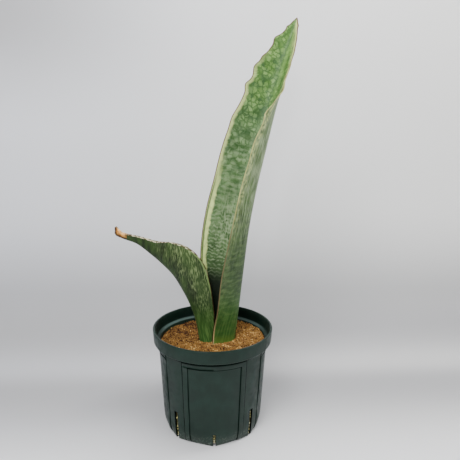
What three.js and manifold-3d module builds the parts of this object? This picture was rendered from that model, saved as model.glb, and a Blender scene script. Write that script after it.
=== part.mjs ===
// A snake plant with one tall and one short channelled leaf, growing in a slit-sided nursery pot.
// Millimetres, +Z up. The origin is the centre of the pot's underside, and a slit faces -Y.
import * as THREE from 'three';
import { mergeVertices } from 'three/addons/utils/BufferGeometryUtils.js';
import Module from 'manifold-3d';

const wasm = await Module();
wasm.setup();

// Driving dimensions

const TOUCHING_GAP = 0.3;
// Round walls of flat facets need a little more
const WALL_GAP = 0.4;

// Pot
const POT_HEIGHT = 126;
const RIM_RADIUS = 75;
const RIM_THICKNESS = 2.8;
const RIM_BEVEL = 0.7;
const COLLAR_FOOT_RADIUS = 74;
const COLLAR_FOOT_Z = 112;
const COLLAR_ROUNDING = 2.2;
const WALL_TOP_Z = 108;
const WALL_TOP_RADIUS = 68;
const WALL_FOOT_RADIUS = 61.9;
const WALL_THICKNESS = 1.9;
const LEDGE_Z = 111;
const FLOOR_THICKNESS = 2.6;
const FOOT_BEVEL = 1;
const BOTTOM_BOSS_RADIUS = 18;
const BOTTOM_RECESS_RADIUS = 41;
const BOTTOM_RECESS_DEPTH = 1.2;
// The round wall turns into an eight-sided foot, with a slit at every corner
// 0 leaves the foot round and 1 makes its sides flat
const FACET_FLATNESS = 0.77;
const FACET_TOP_Z = 16;
// Levels between the bottom and the top of the foot, where its curve has a point
const FOOT_LEVELS = [4, 9];
// Raised ribs frame four wide panels
const RIB_HEIGHT = 0.9;
const RIB_INNER_DEG = 27.2;
const RIB_OUTER_DEG = 33;
// Half the width of the slope at a rib's edge
const RIB_EDGE = 0.3;
const PANEL_TOP_Z = 100.4;
const SLIT_WIDTH = 3.2;
const SHORT_SLIT_TOP_Z = 15.5;
const LONG_SLIT_TOP_Z = 36;
const SLIT_INNER_RADIUS = 46;

// Fillings
const DRAINAGE_TOP_Z = 40;
const SOIL_TOP_Z = 105;
const SOIL_TILT = 1.6;
const SOIL_MOUND = 1.6;
const SOIL_MOUND_RADIUS = 34;
const SOIL_EDGE_RISE = 3.0;
const SOIL_SIDE_RISE = 1.9;
const SOIL_GRAIN = 1.3;
const SOIL_EDGE_DROP = 3;

// Plant below the soil
const LEAF_FOOT_Z = 72;
const RHIZOME_FOOT_Z = 48;
const RHIZOME_CLEARANCE = 1;
// Half the rhizome's length against its height above the hole's floor, as shares of each
const RHIZOME_OUTLINE = [[0.5, 0], [0.82, 0.14], [0.96, 0.38], [0.9, 0.5], [0.98, 0.66], [0.94, 0.8], [1, 1]];
const ROOT_COUNT = 6;
const ROOT_FIRST_DEG = 20;
const ROOT_RADIUS = 1.7;
const ROOT_CLEARANCE = 0.4;
// The hole's length past its bend, as a share of the root's
const ROOT_HOLE_SHARE = 1.02;
const ROOT_START_Z = 57;
const ROOT_END_Z = 45;

// The leaves and the rhizome stand in a plain oval hole in the soil
const HOLE_CENTRE = { x: 6.5, y: 4.5 };
const HOLE_SEMI_AXES = { x: 25.5, y: 18 };

// Leaf stations from foot to tip: keel point x, y, z, wing width, fold and turn.
// The wings fold up from the keel by the fold angle. The turn points from the left wing to the right one,
// and the leaf opens to the right of its turn, seen from above.
const TALL_LEAF = {
  stations: [
    { keel: [21.5, 8.5, LEAF_FOOT_Z], wing: 24, fold: 80, turn: 282 },
    { keel: [25, 9, 105], wing: 35, fold: 84, turn: 284 },
    { keel: [29.5, 10, 150], wing: 44.5, fold: 73, turn: 290 },
    { keel: [34, 10, 200], wing: 54, fold: 68, turn: 294 },
    { keel: [39, 9, 250], wing: 54, fold: 67, turn: 299 },
    { keel: [47.5, 8, 300], wing: 50.5, fold: 70, turn: 303 },
    { keel: [58.5, 9, 350], wing: 48, fold: 71, turn: 307 },
    { keel: [69, 12, 400], wing: 36, fold: 62, turn: 319 },
    { keel: [80, 15, 440], wing: 25.5, fold: 52, turn: 330 },
    { keel: [90, 18, 470], wing: 14, fold: 47, turn: 335 },
    { keel: [96.5, 21, 490], wing: 5, fold: 40, turn: 335 },
    { keel: [99, 23, 498], wing: 0.4, fold: 26, turn: 335 },
  ],
  footThickness: 7.5,
  tipThickness: 1.3,
  rightWingShare: 1,
  // Swells of the left margin, in its own plane
  swells: [
    { at: 0.588, span: 0.02, size: 1.9 },
    { at: 0.659, span: 0.012, size: 4 },
    { at: 0.706, span: 0.018, size: 4.6 },
    { at: 0.737, span: 0.012, size: 2.2 },
    { at: 0.808, span: 0.02, size: 4 },
    { at: 0.877, span: 0.012, size: 1.4 },
  ],
  // Rolls of the right margin, across its own plane
  rolls: [
    { at: 0.505, span: 0.025, size: -1.6 },
    { at: 0.6, span: 0.014, size: 3.4 },
    { at: 0.655, span: 0.02, size: -4 },
    { at: 0.74, span: 0.02, size: 0.8 },
    { at: 0.895, span: 0.014, size: -1.3 },
  ],
  // Even steps along the leaf, closer together where the margins are wavy
  steps: [{ upTo: 0.46, count: 13 }, { upTo: 0.92, count: 38 }, { upTo: 1, count: 6 }],
};

const SHORT_LEAF = {
  stations: [
    { keel: [-9, 4, LEAF_FOOT_Z], wing: 11, fold: 84, turn: 75 },
    { keel: [-13.5, 3, 104], wing: 17.5, fold: 90, turn: 75 },
    { keel: [-18.5, 2, 132.5], wing: 26.5, fold: 89, turn: 80 },
    { keel: [-27, 1, 157], wing: 34.5, fold: 88, turn: 84 },
    { keel: [-36.5, 1, 176], wing: 42, fold: 88, turn: 88 },
    { keel: [-47.5, 2, 193.5], wing: 46, fold: 87, turn: 90 },
    { keel: [-62, 3, 208.5], wing: 37.5, fold: 86, turn: 90 },
    { keel: [-76, 5, 220], wing: 21.5, fold: 84, turn: 91 },
    { keel: [-92, 7, 231.5], wing: 11, fold: 78, turn: 90 },
    { keel: [-112.5, 8.2, 239.2], wing: 6.8, fold: 66, turn: 90 },
    { keel: [-119.5, 8.8, 250.5], wing: 2.5, fold: 50, turn: 90 },
  ],
  footThickness: 6.5,
  tipThickness: 1.6,
  rightWingShare: 0.88,
  swells: [
    { at: 0.645, span: 0.014, size: 1 },
    { at: 0.72, span: 0.03, size: -1 },
  ],
  rolls: [],
  steps: [{ upTo: 0.5, count: 14 }, { upTo: 0.8, count: 12 }, { upTo: 1, count: 8 }],
};

// How sharply the section turns at the keel, and where its points lie between keel and margin
const KEEL_SHARPNESS = 3;
const ACROSS = [0, 0.1, 0.22, 0.38, 0.56, 0.76, 0.95, 1];
const SECTION_STEPS = 24;
// Share of the keel's thickness that the blade has lost at its margin
const MARGIN_THINNING = 0.7;

// Solid and mesh helpers

// A closed mesh with shared vertices, no collapsed triangles, and its faces pointing out
function closedGeometry(source) {
  const bare = source.index ? source.clone() : mergeVertices(source);
  bare.deleteAttribute('normal');
  bare.deleteAttribute('uv');
  const merged = mergeVertices(bare, 1e-4);
  const corners = merged.index.array;
  const place = merged.attributes.position;
  const kept = [];
  let volume = 0;
  const [a, b, c] = [new THREE.Vector3(), new THREE.Vector3(), new THREE.Vector3()];
  for (let i = 0; i < corners.length; i += 3) {
    const [p, q, r] = [corners[i], corners[i + 1], corners[i + 2]];
    if (p === q || q === r || r === p) continue;
    kept.push(p, q, r);
    a.fromBufferAttribute(place, p);
    b.fromBufferAttribute(place, q);
    c.fromBufferAttribute(place, r);
    volume += a.dot(b.cross(c));
  }
  if (volume < 0) kept.reverse();
  merged.setIndex(kept);
  return merged;
}

function toSolid(geometry) {
  const closed = closedGeometry(geometry);
  return new wasm.Manifold(new wasm.Mesh({
    numProp: 3,
    vertProperties: new Float32Array(closed.attributes.position.array),
    triVerts: new Uint32Array(closed.index.array),
  }));
}

function toGeometry(solid) {
  const mesh = solid.getMesh();
  const geometry = new THREE.BufferGeometry();
  geometry.setAttribute('position', new THREE.BufferAttribute(mesh.vertProperties, 3));
  geometry.setIndex(new THREE.BufferAttribute(mesh.triVerts, 1));
  return geometry;
}

// A turned body about Z. reshape(angle, radius, z, index) may move each point of the profile.
// The angle is counted from -Y towards +X.
function turned(profile, segments, reshape) {
  const points = profile.map(([radius, z]) => new THREE.Vector2(radius, z));
  const lathe = new THREE.LatheGeometry(points, segments).rotateX(Math.PI / 2);
  const place = lathe.attributes.position;
  for (let i = 0; i < place.count; i += 1) {
    const angle = (2 * Math.PI * (Math.floor(i / points.length) % segments)) / segments;
    const index = i % points.length;
    const [radius, z] = profile[index];
    const moved = reshape(angle, radius, z, index);
    place.setXYZ(i, moved.radius * Math.sin(moved.angle), -moved.radius * Math.cos(moved.angle), moved.z);
  }
  return closedGeometry(lathe);
}

const degrees = THREE.MathUtils.degToRad;

// Pot

// The turned pot has its edges on these angles from a panel's centre line, mirrored and repeated
const HALF_PANEL_ANGLES = [
  0, 7, 14, 21, RIB_INNER_DEG - RIB_EDGE, RIB_INNER_DEG + RIB_EDGE,
  RIB_OUTER_DEG - RIB_EDGE, RIB_OUTER_DEG + RIB_EDGE, 39, 45,
];

function potAngle(angle) {
  const steps = HALF_PANEL_ANGLES.length - 1;
  const step = Math.round((angle * 8 * steps) / (2 * Math.PI));
  const eighth = Math.floor(step / steps);
  const rest = step % steps;
  const inside = eighth % 2 === 0 ? HALF_PANEL_ANGLES[rest] : 45 - HALF_PANEL_ANGLES[steps - rest];
  return degrees(eighth * 45 + inside);
}

// How far the eight-sided foot lies inside the round wall
function facetInset(angle, z) {
  const rise = Math.max(0, 1 - z / FACET_TOP_Z);
  const fromMiddle = (angle % (Math.PI / 4)) - Math.PI / 8;
  const chord = Math.cos(Math.PI / 8) / Math.cos(fromMiddle);
  return WALL_FOOT_RADIUS * FACET_FLATNESS * (1 - chord) * rise * rise;
}

function wallRadius(z) {
  return WALL_FOOT_RADIUS + ((WALL_TOP_RADIUS - WALL_FOOT_RADIUS) * z) / WALL_TOP_Z;
}

function innerRadius(z) {
  return wallRadius(z) - WALL_THICKNESS;
}

const onWall = (z) => [wallRadius(z), z];
const onInside = (z) => [innerRadius(z), z];

// The profile runs from the middle of the underside, up the outside, over the rim and down the inside
const POT_BOTTOM = [
  [0, 0], [BOTTOM_BOSS_RADIUS, 0], [BOTTOM_BOSS_RADIUS + 1, BOTTOM_RECESS_DEPTH],
  [BOTTOM_RECESS_RADIUS, BOTTOM_RECESS_DEPTH], [BOTTOM_RECESS_RADIUS + 1, 0],
  [WALL_FOOT_RADIUS - FOOT_BEVEL, 0],
];
const POT_OUTSIDE = [
  [WALL_FOOT_RADIUS, FOOT_BEVEL], ...FOOT_LEVELS.map(onWall), onWall(FACET_TOP_Z),
  onWall(PANEL_TOP_Z - RIB_EDGE), onWall(PANEL_TOP_Z + RIB_EDGE), [WALL_TOP_RADIUS, WALL_TOP_Z],
];
const POT_COLLAR = [
  [COLLAR_FOOT_RADIUS - COLLAR_ROUNDING / 2, COLLAR_FOOT_Z - COLLAR_ROUNDING],
  [COLLAR_FOOT_RADIUS, COLLAR_FOOT_Z], [RIM_RADIUS, POT_HEIGHT - 2 * RIM_BEVEL],
  [RIM_RADIUS - RIM_BEVEL, POT_HEIGHT], [RIM_RADIUS - RIM_THICKNESS + RIM_BEVEL, POT_HEIGHT],
  [RIM_RADIUS - RIM_THICKNESS, POT_HEIGHT - RIM_BEVEL],
];
const POT_INSIDE = [
  [COLLAR_FOOT_RADIUS - RIM_THICKNESS, LEDGE_Z + COLLAR_ROUNDING], [innerRadius(LEDGE_Z) + 1, LEDGE_Z],
  onInside(WALL_TOP_Z + 1), onInside(FACET_TOP_Z), ...FOOT_LEVELS.slice(1).map(onInside),
  onInside(FLOOR_THICKNESS), [0, FLOOR_THICKNESS],
];

function makePot() {
  const profile = [...POT_BOTTOM, ...POT_OUTSIDE, ...POT_COLLAR, ...POT_INSIDE];
  const firstOutside = POT_BOTTOM.length;
  const lastOutside = firstOutside + POT_OUTSIDE.length - 1;
  const shell = turned(profile, 8 * (HALF_PANEL_ANGLES.length - 1), (plain, radius, z, index) => {
    const angle = potAngle(plain);
    const fromPanel = Math.abs(45 - ((THREE.MathUtils.radToDeg(angle) + 45) % 90));
    const isRib = fromPanel > RIB_INNER_DEG && fromPanel < RIB_OUTER_DEG;
    const isHead = fromPanel < RIB_OUTER_DEG && z > PANEL_TOP_Z;
    const isOutside = index >= firstOutside && index <= lastOutside;
    const relief = isOutside && (isRib || isHead) ? RIB_HEIGHT : 0;
    const inset = radius > BOTTOM_RECESS_RADIUS + 2 ? facetInset(angle, z) : 0;
    return { angle, radius: radius - inset + relief, z };
  });
  let pot = toSolid(shell);
  for (let corner = 0; corner < 8; corner += 1) {
    const top = corner % 2 === 0 ? SHORT_SLIT_TOP_Z : LONG_SLIT_TOP_Z;
    const reach = RIM_RADIUS - SLIT_INNER_RADIUS;
    const slit = new THREE.BoxGeometry(SLIT_WIDTH, reach, top + 2)
      .translate(0, -SLIT_INNER_RADIUS - reach / 2, top / 2 - 1)
      .rotateZ((corner * Math.PI) / 4);
    pot = pot.subtract(toSolid(slit));
  }
  return toGeometry(pot);
}

// Fillings

function makeDrainage() {
  const foot = FLOOR_THICKNESS + TOUCHING_GAP;
  // Listed downwards, as the pot's inside is, so that both have the same facets
  const profile = [
    [0, DRAINAGE_TOP_Z], [innerRadius(DRAINAGE_TOP_Z) - WALL_GAP, DRAINAGE_TOP_Z],
    ...[FACET_TOP_Z, ...FOOT_LEVELS.slice(1), foot].map((z) => [innerRadius(z) - WALL_GAP, z]),
    [0, foot],
  ];
  return turned(profile, 8 * (HALF_PANEL_ANGLES.length - 1), (plain, radius, z) => {
    const angle = potAngle(plain);
    return { angle, radius: Math.max(0, radius - facetInset(angle, z)), z };
  });
}

// A repeatable number from 0 to 1 for each grain of the soil's top
function grain(ring, step) {
  const wave = Math.sin(ring * 127.1 + step * 311.7) * 43758.5453;
  return wave - Math.floor(wave);
}

function soilHeight(x, y, ring, step) {
  const reach = Math.hypot(x, y);
  const mound = SOIL_MOUND * Math.exp(-((reach / SOIL_MOUND_RADIUS) ** 2));
  const sideways = Math.max(0, (Math.abs(x) - 0.3 * y) / WALL_TOP_RADIUS);
  const rise = (SOIL_EDGE_RISE + SOIL_SIDE_RISE * sideways) * (reach / WALL_TOP_RADIUS) ** 3;
  const tilt = (SOIL_TILT * x) / WALL_TOP_RADIUS;
  return SOIL_TOP_Z + tilt + mound + rise + SOIL_GRAIN * (grain(ring, step) - 0.5);
}

function makeSoil(rootPaths) {
  const foot = DRAINAGE_TOP_Z + TOUCHING_GAP;
  const rings = 13;
  const segments = 72;
  const edgeZ = SOIL_TOP_Z - SOIL_EDGE_DROP;
  const edge = innerRadius(edgeZ) - WALL_GAP;
  const profile = [[0, foot], [innerRadius(foot) - WALL_GAP, foot], [edge, edgeZ]];
  const firstTop = profile.length;
  for (let ring = 0; ring <= rings; ring += 1) profile.push([(edge * (rings - ring)) / rings, SOIL_TOP_Z]);
  const body = turned(profile, segments, (angle, radius, z, index) => {
    if (index < firstTop) return { angle, radius, z };
    const ring = index - firstTop;
    // The middle is cut away by the hole, so it stays plain
    if (radius < HOLE_SEMI_AXES.y / 2) return { angle, radius, z };
    const step = Math.round((angle * segments) / (2 * Math.PI));
    return { angle, radius, z: soilHeight(radius * Math.sin(angle), -radius * Math.cos(angle), ring, step) };
  });
  const depth = POT_HEIGHT - RHIZOME_FOOT_Z;
  const hole = new THREE.CylinderGeometry(1, 1, depth, 36)
    .rotateX(Math.PI / 2)
    .scale(HOLE_SEMI_AXES.x, HOLE_SEMI_AXES.y, 1)
    .translate(HOLE_CENTRE.x, HOLE_CENTRE.y, RHIZOME_FOOT_Z + depth / 2);
  let soil = toSolid(body).subtract(toSolid(hole));
  for (const path of rootPaths) {
    soil = soil.subtract(toSolid(rootTube(path, ROOT_RADIUS + ROOT_CLEARANCE, ROOT_HOLE_SHARE)));
  }
  return toGeometry(soil);
}

// Rhizome and roots

function rootRoutes() {
  return Array.from({ length: ROOT_COUNT }, (_, i) => {
    const angle = degrees(ROOT_FIRST_DEG + (360 * i) / ROOT_COUNT);
    const at = (reach, z) => new THREE.Vector3(
      HOLE_CENTRE.x + reach * Math.cos(angle), HOLE_CENTRE.y + reach * Math.sin(angle), z,
    );
    return [at(6, ROOT_START_Z), at(26 + 3 * (i % 2), ROOT_START_Z + 1), at(38 + 5 * (i % 3), ROOT_END_Z)];
  });
}

// One run of root, lengthened past its end for the hole it lies in
function rootTube([start, bend, end], radius, lengthening) {
  const path = new THREE.QuadraticBezierCurve3(start, bend, bend.clone().lerp(end, lengthening));
  const ring = new THREE.EllipseCurve(0, 0, radius, radius).getPoints(6).slice(1);
  return new THREE.ExtrudeGeometry(new THREE.Shape(ring), { steps: 8, extrudePath: path });
}

function makeRhizome(rootPaths) {
  const foot = RHIZOME_FOOT_Z + TOUCHING_GAP;
  const height = LEAF_FOOT_Z - TOUCHING_GAP - foot;
  const outline = [[0, 0], ...RHIZOME_OUTLINE, [0, 1]].map(([reach, rise]) => [reach, foot + rise * height]);
  const stump = turned(outline, 24, (angle, radius, z) => ({ angle, radius, z }))
    .scale(HOLE_SEMI_AXES.x - RHIZOME_CLEARANCE, HOLE_SEMI_AXES.y - RHIZOME_CLEARANCE, 1)
    .translate(HOLE_CENTRE.x, HOLE_CENTRE.y, 0);
  let rhizome = toSolid(stump);
  for (const path of rootPaths) rhizome = rhizome.add(toSolid(rootTube(path, ROOT_RADIUS, 1)));
  return toGeometry(rhizome);
}

// Leaves

// The folded section for wings of unit width, from the left margin at t -1 to the right margin at t 1
function foldedSection(foldDeg) {
  const fold = degrees(foldDeg);
  const heading = (t) => (fold * Math.tanh(KEEL_SHARPNESS * t)) / Math.tanh(KEEL_SHARPNESS);
  const half = ACROSS.map((t) => {
    let across = 0;
    let up = 0;
    const step = t / SECTION_STEPS;
    for (let i = 0; i < SECTION_STEPS; i += 1) {
      across += Math.cos(heading((i + 0.5) * step)) * step;
      up += Math.sin(heading((i + 0.5) * step)) * step;
    }
    return { t, across, up, heading: heading(t) };
  });
  const left = half.slice(1).reverse().map(({ t, across, up, heading: lean }) => (
    { t: -t, across: -across, up, heading: -lean }
  ));
  return [...left, ...half];
}

function swell(list, v) {
  return list.reduce((sum, { at, span, size }) => sum + size * Math.exp(-(((v - at) / span) ** 2)), 0);
}

// One ring of the leaf: the outer face from the left margin to the right one, then the inner face back
function leafRing(leaf, keelLine, shapeLine, v, collapsed) {
  const keel = keelLine.getPoint(v);
  const [wing, fold, turn] = shapeLine.getPoint(v).toArray();
  const ahead = keelLine.getPoint(Math.min(v + 0.001, 1));
  const along = ahead.sub(keelLine.getPoint(Math.max(v - 0.001, 0))).normalize();
  const side = new THREE.Vector3(Math.cos(degrees(turn)), Math.sin(degrees(turn)), 0);
  side.addScaledVector(along, -side.dot(along)).normalize();
  const opening = side.clone().cross(along);
  const thickness = leaf.tipThickness + (leaf.footThickness - leaf.tipThickness) * (1 - v ** 1.6);
  const outer = [];
  const inner = [];
  for (const point of foldedSection(fold)) {
    const ownWing = point.t < 0 ? wing + swell(leaf.swells, v) : wing * leaf.rightWingShare;
    const middle = keel.clone()
      .addScaledVector(side, ownWing * point.across)
      .addScaledVector(opening, ownWing * point.up);
    const inward = side.clone().multiplyScalar(-Math.sin(point.heading))
      .addScaledVector(opening, Math.cos(point.heading));
    if (point.t > 0) middle.addScaledVector(inward, swell(leaf.rolls, v) * point.t ** 4);
    const isMargin = Math.abs(point.t) === 1;
    const half = collapsed || isMargin ? 0 : (thickness / 2) * (1 - MARGIN_THINNING * point.t ** 2);
    outer.push(middle.clone().addScaledVector(inward, -half));
    inner.push(middle.clone().addScaledVector(inward, half));
  }
  const ring = [...outer, ...inner.reverse().slice(1, -1)];
  if (v === 0) ring.forEach((point) => point.setZ(LEAF_FOOT_Z));
  return ring;
}

// Rings joined by triangles that are split alike on both faces of the blade
function loft(rings, acrossCount) {
  const around = rings[0].length;
  const positions = rings.flat().flatMap((point) => point.toArray());
  const index = [];
  for (let i = 0; i + 1 < rings.length; i += 1) {
    for (let j = 0; j < around; j += 1) {
      const next = (j + 1) % around;
      const [a, b, c, d] = [i * around + j, i * around + next, (i + 1) * around + next, (i + 1) * around + j];
      if (j < acrossCount - 1) index.push(a, d, b, b, d, c);
      else index.push(a, c, b, a, d, c);
    }
  }
  const geometry = new THREE.BufferGeometry();
  geometry.setAttribute('position', new THREE.Float32BufferAttribute(positions, 3));
  geometry.setIndex(index);
  return closedGeometry(geometry);
}

function makeLeaf(leaf) {
  const keelLine = new THREE.CatmullRomCurve3(
    leaf.stations.map(({ keel }) => new THREE.Vector3(...keel)), false, 'catmullrom',
  );
  const shapeLine = new THREE.CatmullRomCurve3(
    leaf.stations.map(({ wing, fold, turn }) => new THREE.Vector3(wing, fold, turn)), false, 'catmullrom',
  );
  // The collapsed first ring closes the foot, and the tip is a point
  const rings = [leafRing(leaf, keelLine, shapeLine, 0, true)];
  let from = 0;
  for (const { upTo, count } of leaf.steps) {
    for (let i = 0; i < count; i += 1) {
      rings.push(leafRing(leaf, keelLine, shapeLine, from + ((upTo - from) * i) / count, false));
    }
    from = upTo;
  }
  const tip = keelLine.getPoint(1);
  rings.push(rings[0].map(() => tip.clone()));
  return loft(rings, 2 * ACROSS.length - 1);
}

// Assembly

const FINISHES = {
  pot: { color: 0x2b463d, roughness: 0.45, metalness: 0 },
  drainage_layer: { color: 0xb9b89a, roughness: 0.95, metalness: 0 },
  potting_soil: { color: 0xa5713a, roughness: 0.95, metalness: 0 },
  rhizome: { color: 0xc08a4e, roughness: 0.7, metalness: 0 },
  leaf_tall: { color: 0x5d8550, roughness: 0.5, metalness: 0 },
  leaf_short: { color: 0x4c7040, roughness: 0.5, metalness: 0 },
};

const group = new THREE.Group();

function addPart(name, geometry) {
  geometry.computeVertexNormals();
  const mesh = new THREE.Mesh(geometry, new THREE.MeshStandardMaterial(FINISHES[name]));
  mesh.name = name;
  group.add(mesh);
}

const roots = rootRoutes();
addPart('pot', makePot());
addPart('drainage_layer', makeDrainage());
addPart('potting_soil', makeSoil(roots));
addPart('rhizome', makeRhizome(roots));
addPart('leaf_tall', makeLeaf(TALL_LEAF));
addPart('leaf_short', makeLeaf(SHORT_LEAF));

export default group;
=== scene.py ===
import logging
import math
import random
from dataclasses import dataclass, field
from enum import Enum
from typing import Callable, Iterable, Sequence, Union

import bmesh
import bpy
from mathutils import Matrix, Vector, noise
from mathutils.bvhtree import BVHTree

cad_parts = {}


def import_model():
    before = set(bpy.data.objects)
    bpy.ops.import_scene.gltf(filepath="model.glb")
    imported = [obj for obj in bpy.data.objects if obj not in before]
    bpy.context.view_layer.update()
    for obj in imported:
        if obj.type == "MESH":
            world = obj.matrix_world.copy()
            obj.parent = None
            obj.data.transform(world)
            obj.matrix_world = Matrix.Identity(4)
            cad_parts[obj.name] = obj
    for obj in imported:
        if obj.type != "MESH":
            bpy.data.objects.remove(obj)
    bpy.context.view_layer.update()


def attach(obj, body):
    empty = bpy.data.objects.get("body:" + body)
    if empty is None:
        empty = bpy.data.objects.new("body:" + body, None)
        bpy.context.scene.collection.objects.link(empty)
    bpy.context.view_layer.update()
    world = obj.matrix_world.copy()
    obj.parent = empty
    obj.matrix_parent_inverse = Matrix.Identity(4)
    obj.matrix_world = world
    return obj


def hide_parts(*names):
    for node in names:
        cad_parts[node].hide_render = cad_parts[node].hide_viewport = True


LOG = logging.getLogger("potted_snake_plant")
MM = 0.001
BODY = "root"

Socket = bpy.types.NodeSocket
Material = bpy.types.Material
Thing = bpy.types.Object
Value = Union[float, Sequence[float], Socket]
Colour = tuple[float, float, float, float]


def smoothstep(low: float, high: float, value: float) -> float:
    """Eases from 0 at low to 1 at high."""
    share = min(max((value - low) / (high - low), 0.0), 1.0)
    return share * share * (3 - 2 * share)


def seen(red: int, green: int, blue: int) -> Colour:
    """Turns a colour of a screen, 0 to 255 a channel, into the shader's linear one.

    Args:
        red: Red level.
        green: Green level.
        blue: Blue level.

    Returns:
        The linear colour.
    """
    def linear(level: int) -> float:
        """Turns one channel's level into a linear one."""
        share = level / 255
        return share / 12.92 if share <= 0.04045 else ((share + 0.055) / 1.055) ** 2.4
    return linear(red), linear(green), linear(blue), 1.0


def along_curve(points: Sequence[Sequence[float]], share: float) -> list[float]:
    """Reads a smooth curve that passes through evenly spaced points.

    Args:
        points: Points of any number of values, from the curve's start to its end.
        share: Place along the curve, from 0 to 1.

    Returns:
        The curve's values there.
    """
    spans = len(points) - 1
    place = min(max(share, 0.0), 1.0) * spans
    first = min(int(place), spans - 1)
    t = place - first
    values = []
    for i in range(len(points[0])):
        b = points[first][i]
        c = points[first + 1][i]
        a = points[first - 1][i] if first > 0 else 2 * b - c
        d = points[first + 2][i] if first + 2 <= spans else 2 * c - b
        bend = (2 * a - 5 * b + 4 * c - d) * t * t + (3 * b - 3 * c + d - a) * t ** 3
        values.append(0.5 * (2 * b + (c - a) * t + bend))
    return values


class NodeDesk:
    """Adds and links the nodes of one shader tree."""

    def __init__(self, tree: bpy.types.NodeTree) -> None:
        """Works on the given tree."""
        self.tree = tree

    def add(self, kind: str, **settings: object) -> bpy.types.Node:
        """Adds a node of the given kind with its settings.

        Args:
            kind: The node's type.
            settings: Its properties by name.

        Returns:
            The node.
        """
        node = self.tree.nodes.new(kind)
        for name, value in settings.items():
            setattr(node, name, value)
        return node

    def put(self, socket: Socket, value: Value) -> None:
        """Links a socket to another one, or sets its number or colour.

        Args:
            socket: The socket that is set.
            value: What it gets.
        """
        if isinstance(value, bpy.types.NodeSocket):
            self.tree.links.new(value, socket)
        else:
            socket.default_value = value

    def math(self, operation: str, first: Value, second: Value = 0.0) -> Socket:
        """Adds a Math node and returns its result.

        Args:
            operation: The operation.
            first: The first value.
            second: The second value.

        Returns:
            The result.
        """
        node = self.add("ShaderNodeMath", operation=operation)
        self.put(node.inputs[0], first)
        self.put(node.inputs[1], second)
        return node.outputs[0]

    def ramp(self, value: Value, low: Value, high: Value, start: float = 0.0, end: float = 1.0) -> Socket:
        """Eases from start, where the value is low, to end, where it is high.

        Args:
            value: The value that is read.
            low: Where the change starts.
            high: Where it ends.
            start: Its first value.
            end: Its last value.

        Returns:
            The eased value.
        """
        node = self.add("ShaderNodeMapRange", interpolation_type="SMOOTHSTEP")
        names = ("Value", "From Min", "From Max", "To Min", "To Max")
        for name, given in zip(names, (value, low, high, start, end)):
            self.put(node.inputs[name], given)
        return node.outputs["Result"]

    def vector(self, *parts: Value) -> Socket:
        """Joins three numbers to a vector.

        Args:
            parts: The numbers.

        Returns:
            The vector.
        """
        node = self.add("ShaderNodeCombineXYZ")
        for socket, part in zip(node.inputs, parts):
            self.put(socket, part)
        return node.outputs[0]

    def times(self, *masks: Value) -> Socket:
        """Multiplies masks.

        Args:
            masks: The masks.

        Returns:
            Their product.
        """
        product = masks[0]
        for mask in masks[1:]:
            product = self.math("MULTIPLY", product, mask)
        return product

    def most(self, *masks: Value) -> Socket:
        """Takes the highest of some masks.

        Args:
            masks: The masks.

        Returns:
            The highest mask.
        """
        highest = masks[0]
        for mask in masks[1:]:
            highest = self.math("MAXIMUM", highest, mask)
        return highest

    def blend(self, share: Value, first: Value, second: Value) -> Socket:
        """Mixes two colours by a share of the second one.

        Args:
            share: Share of the second colour.
            first: The first colour.
            second: The second colour.

        Returns:
            The mixed colour.
        """
        node = self.add("ShaderNodeMix", data_type="RGBA")
        for name, given in (("Factor_Float", share), ("A_Color", first), ("B_Color", second)):
            self.put(next(socket for socket in node.inputs if socket.identifier == name), given)
        return next(socket for socket in node.outputs if socket.identifier == "Result_Color")

    def noise_node(self, place: Socket, scale: float, detail: float, roughness: float) -> bpy.types.Node:
        """Adds cloudy noise.

        Args:
            place: The place that it reads.
            scale: Its scale.
            detail: Its detail.
            roughness: Its roughness.

        Returns:
            The node.
        """
        node = self.add("ShaderNodeTexNoise", noise_dimensions="3D")
        for name, given in zip(("Vector", "Scale", "Detail", "Roughness"), (place, scale, detail, roughness)):
            self.put(node.inputs[name], given)
        return node

    def noise(self, place: Socket, scale: float, detail: float = 2.0, roughness: float = 0.5) -> Socket:
        """Adds cloudy noise and returns its value."""
        return self.noise_node(place, scale, detail, roughness).outputs["Fac"]

    def group(self, tree: bpy.types.NodeTree, **values: Value) -> bpy.types.Node:
        """Places a shared group. Underscores stand for the spaces in its socket names.

        Args:
            tree: The group's tree.
            values: Values of its inputs by name.

        Returns:
            The group's node.
        """
        node = self.add("ShaderNodeGroup", node_tree=tree)
        for name, value in values.items():
            self.put(node.inputs[name.replace("_", " ")], value)
        return node

    def object_place(self) -> Socket:
        """Returns the place on the piece, in metres."""
        return self.add("ShaderNodeTexCoord").outputs["Object"]


class Over(Enum):
    """What a mask on a leaf runs over: the share of its length, or metres from its keel or margin."""

    SHARE = "share"
    ACROSS = "across"
    KEEL = "from_keel"
    MARGIN = "margin"

    def socket(self, desk: "LeafDesk") -> Socket:
        """Returns what the desk reads for it."""
        return getattr(desk, self.value)


class Mask:
    """A pattern on a leaf that lets a coat of colour through in some places."""

    def place(self, desk: "LeafDesk") -> Socket:
        """Places the pattern's nodes and returns their value."""
        raise NotImplementedError


@dataclass(frozen=True)
class Ease(Mask):
    """A smooth change from start to end while a value goes from low to high."""

    low: float
    high: float
    start: float = 0.0
    end: float = 1.0
    over: Over = Over.SHARE

    def of(self, desk: NodeDesk, value: Value) -> Socket:
        """Reads the change at a value."""
        return desk.ramp(value, self.low, self.high, self.start, self.end)

    def place(self, desk: "LeafDesk") -> Socket:
        """Reads the change over a leaf."""
        return self.of(desk, self.over.socket(desk))


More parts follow.
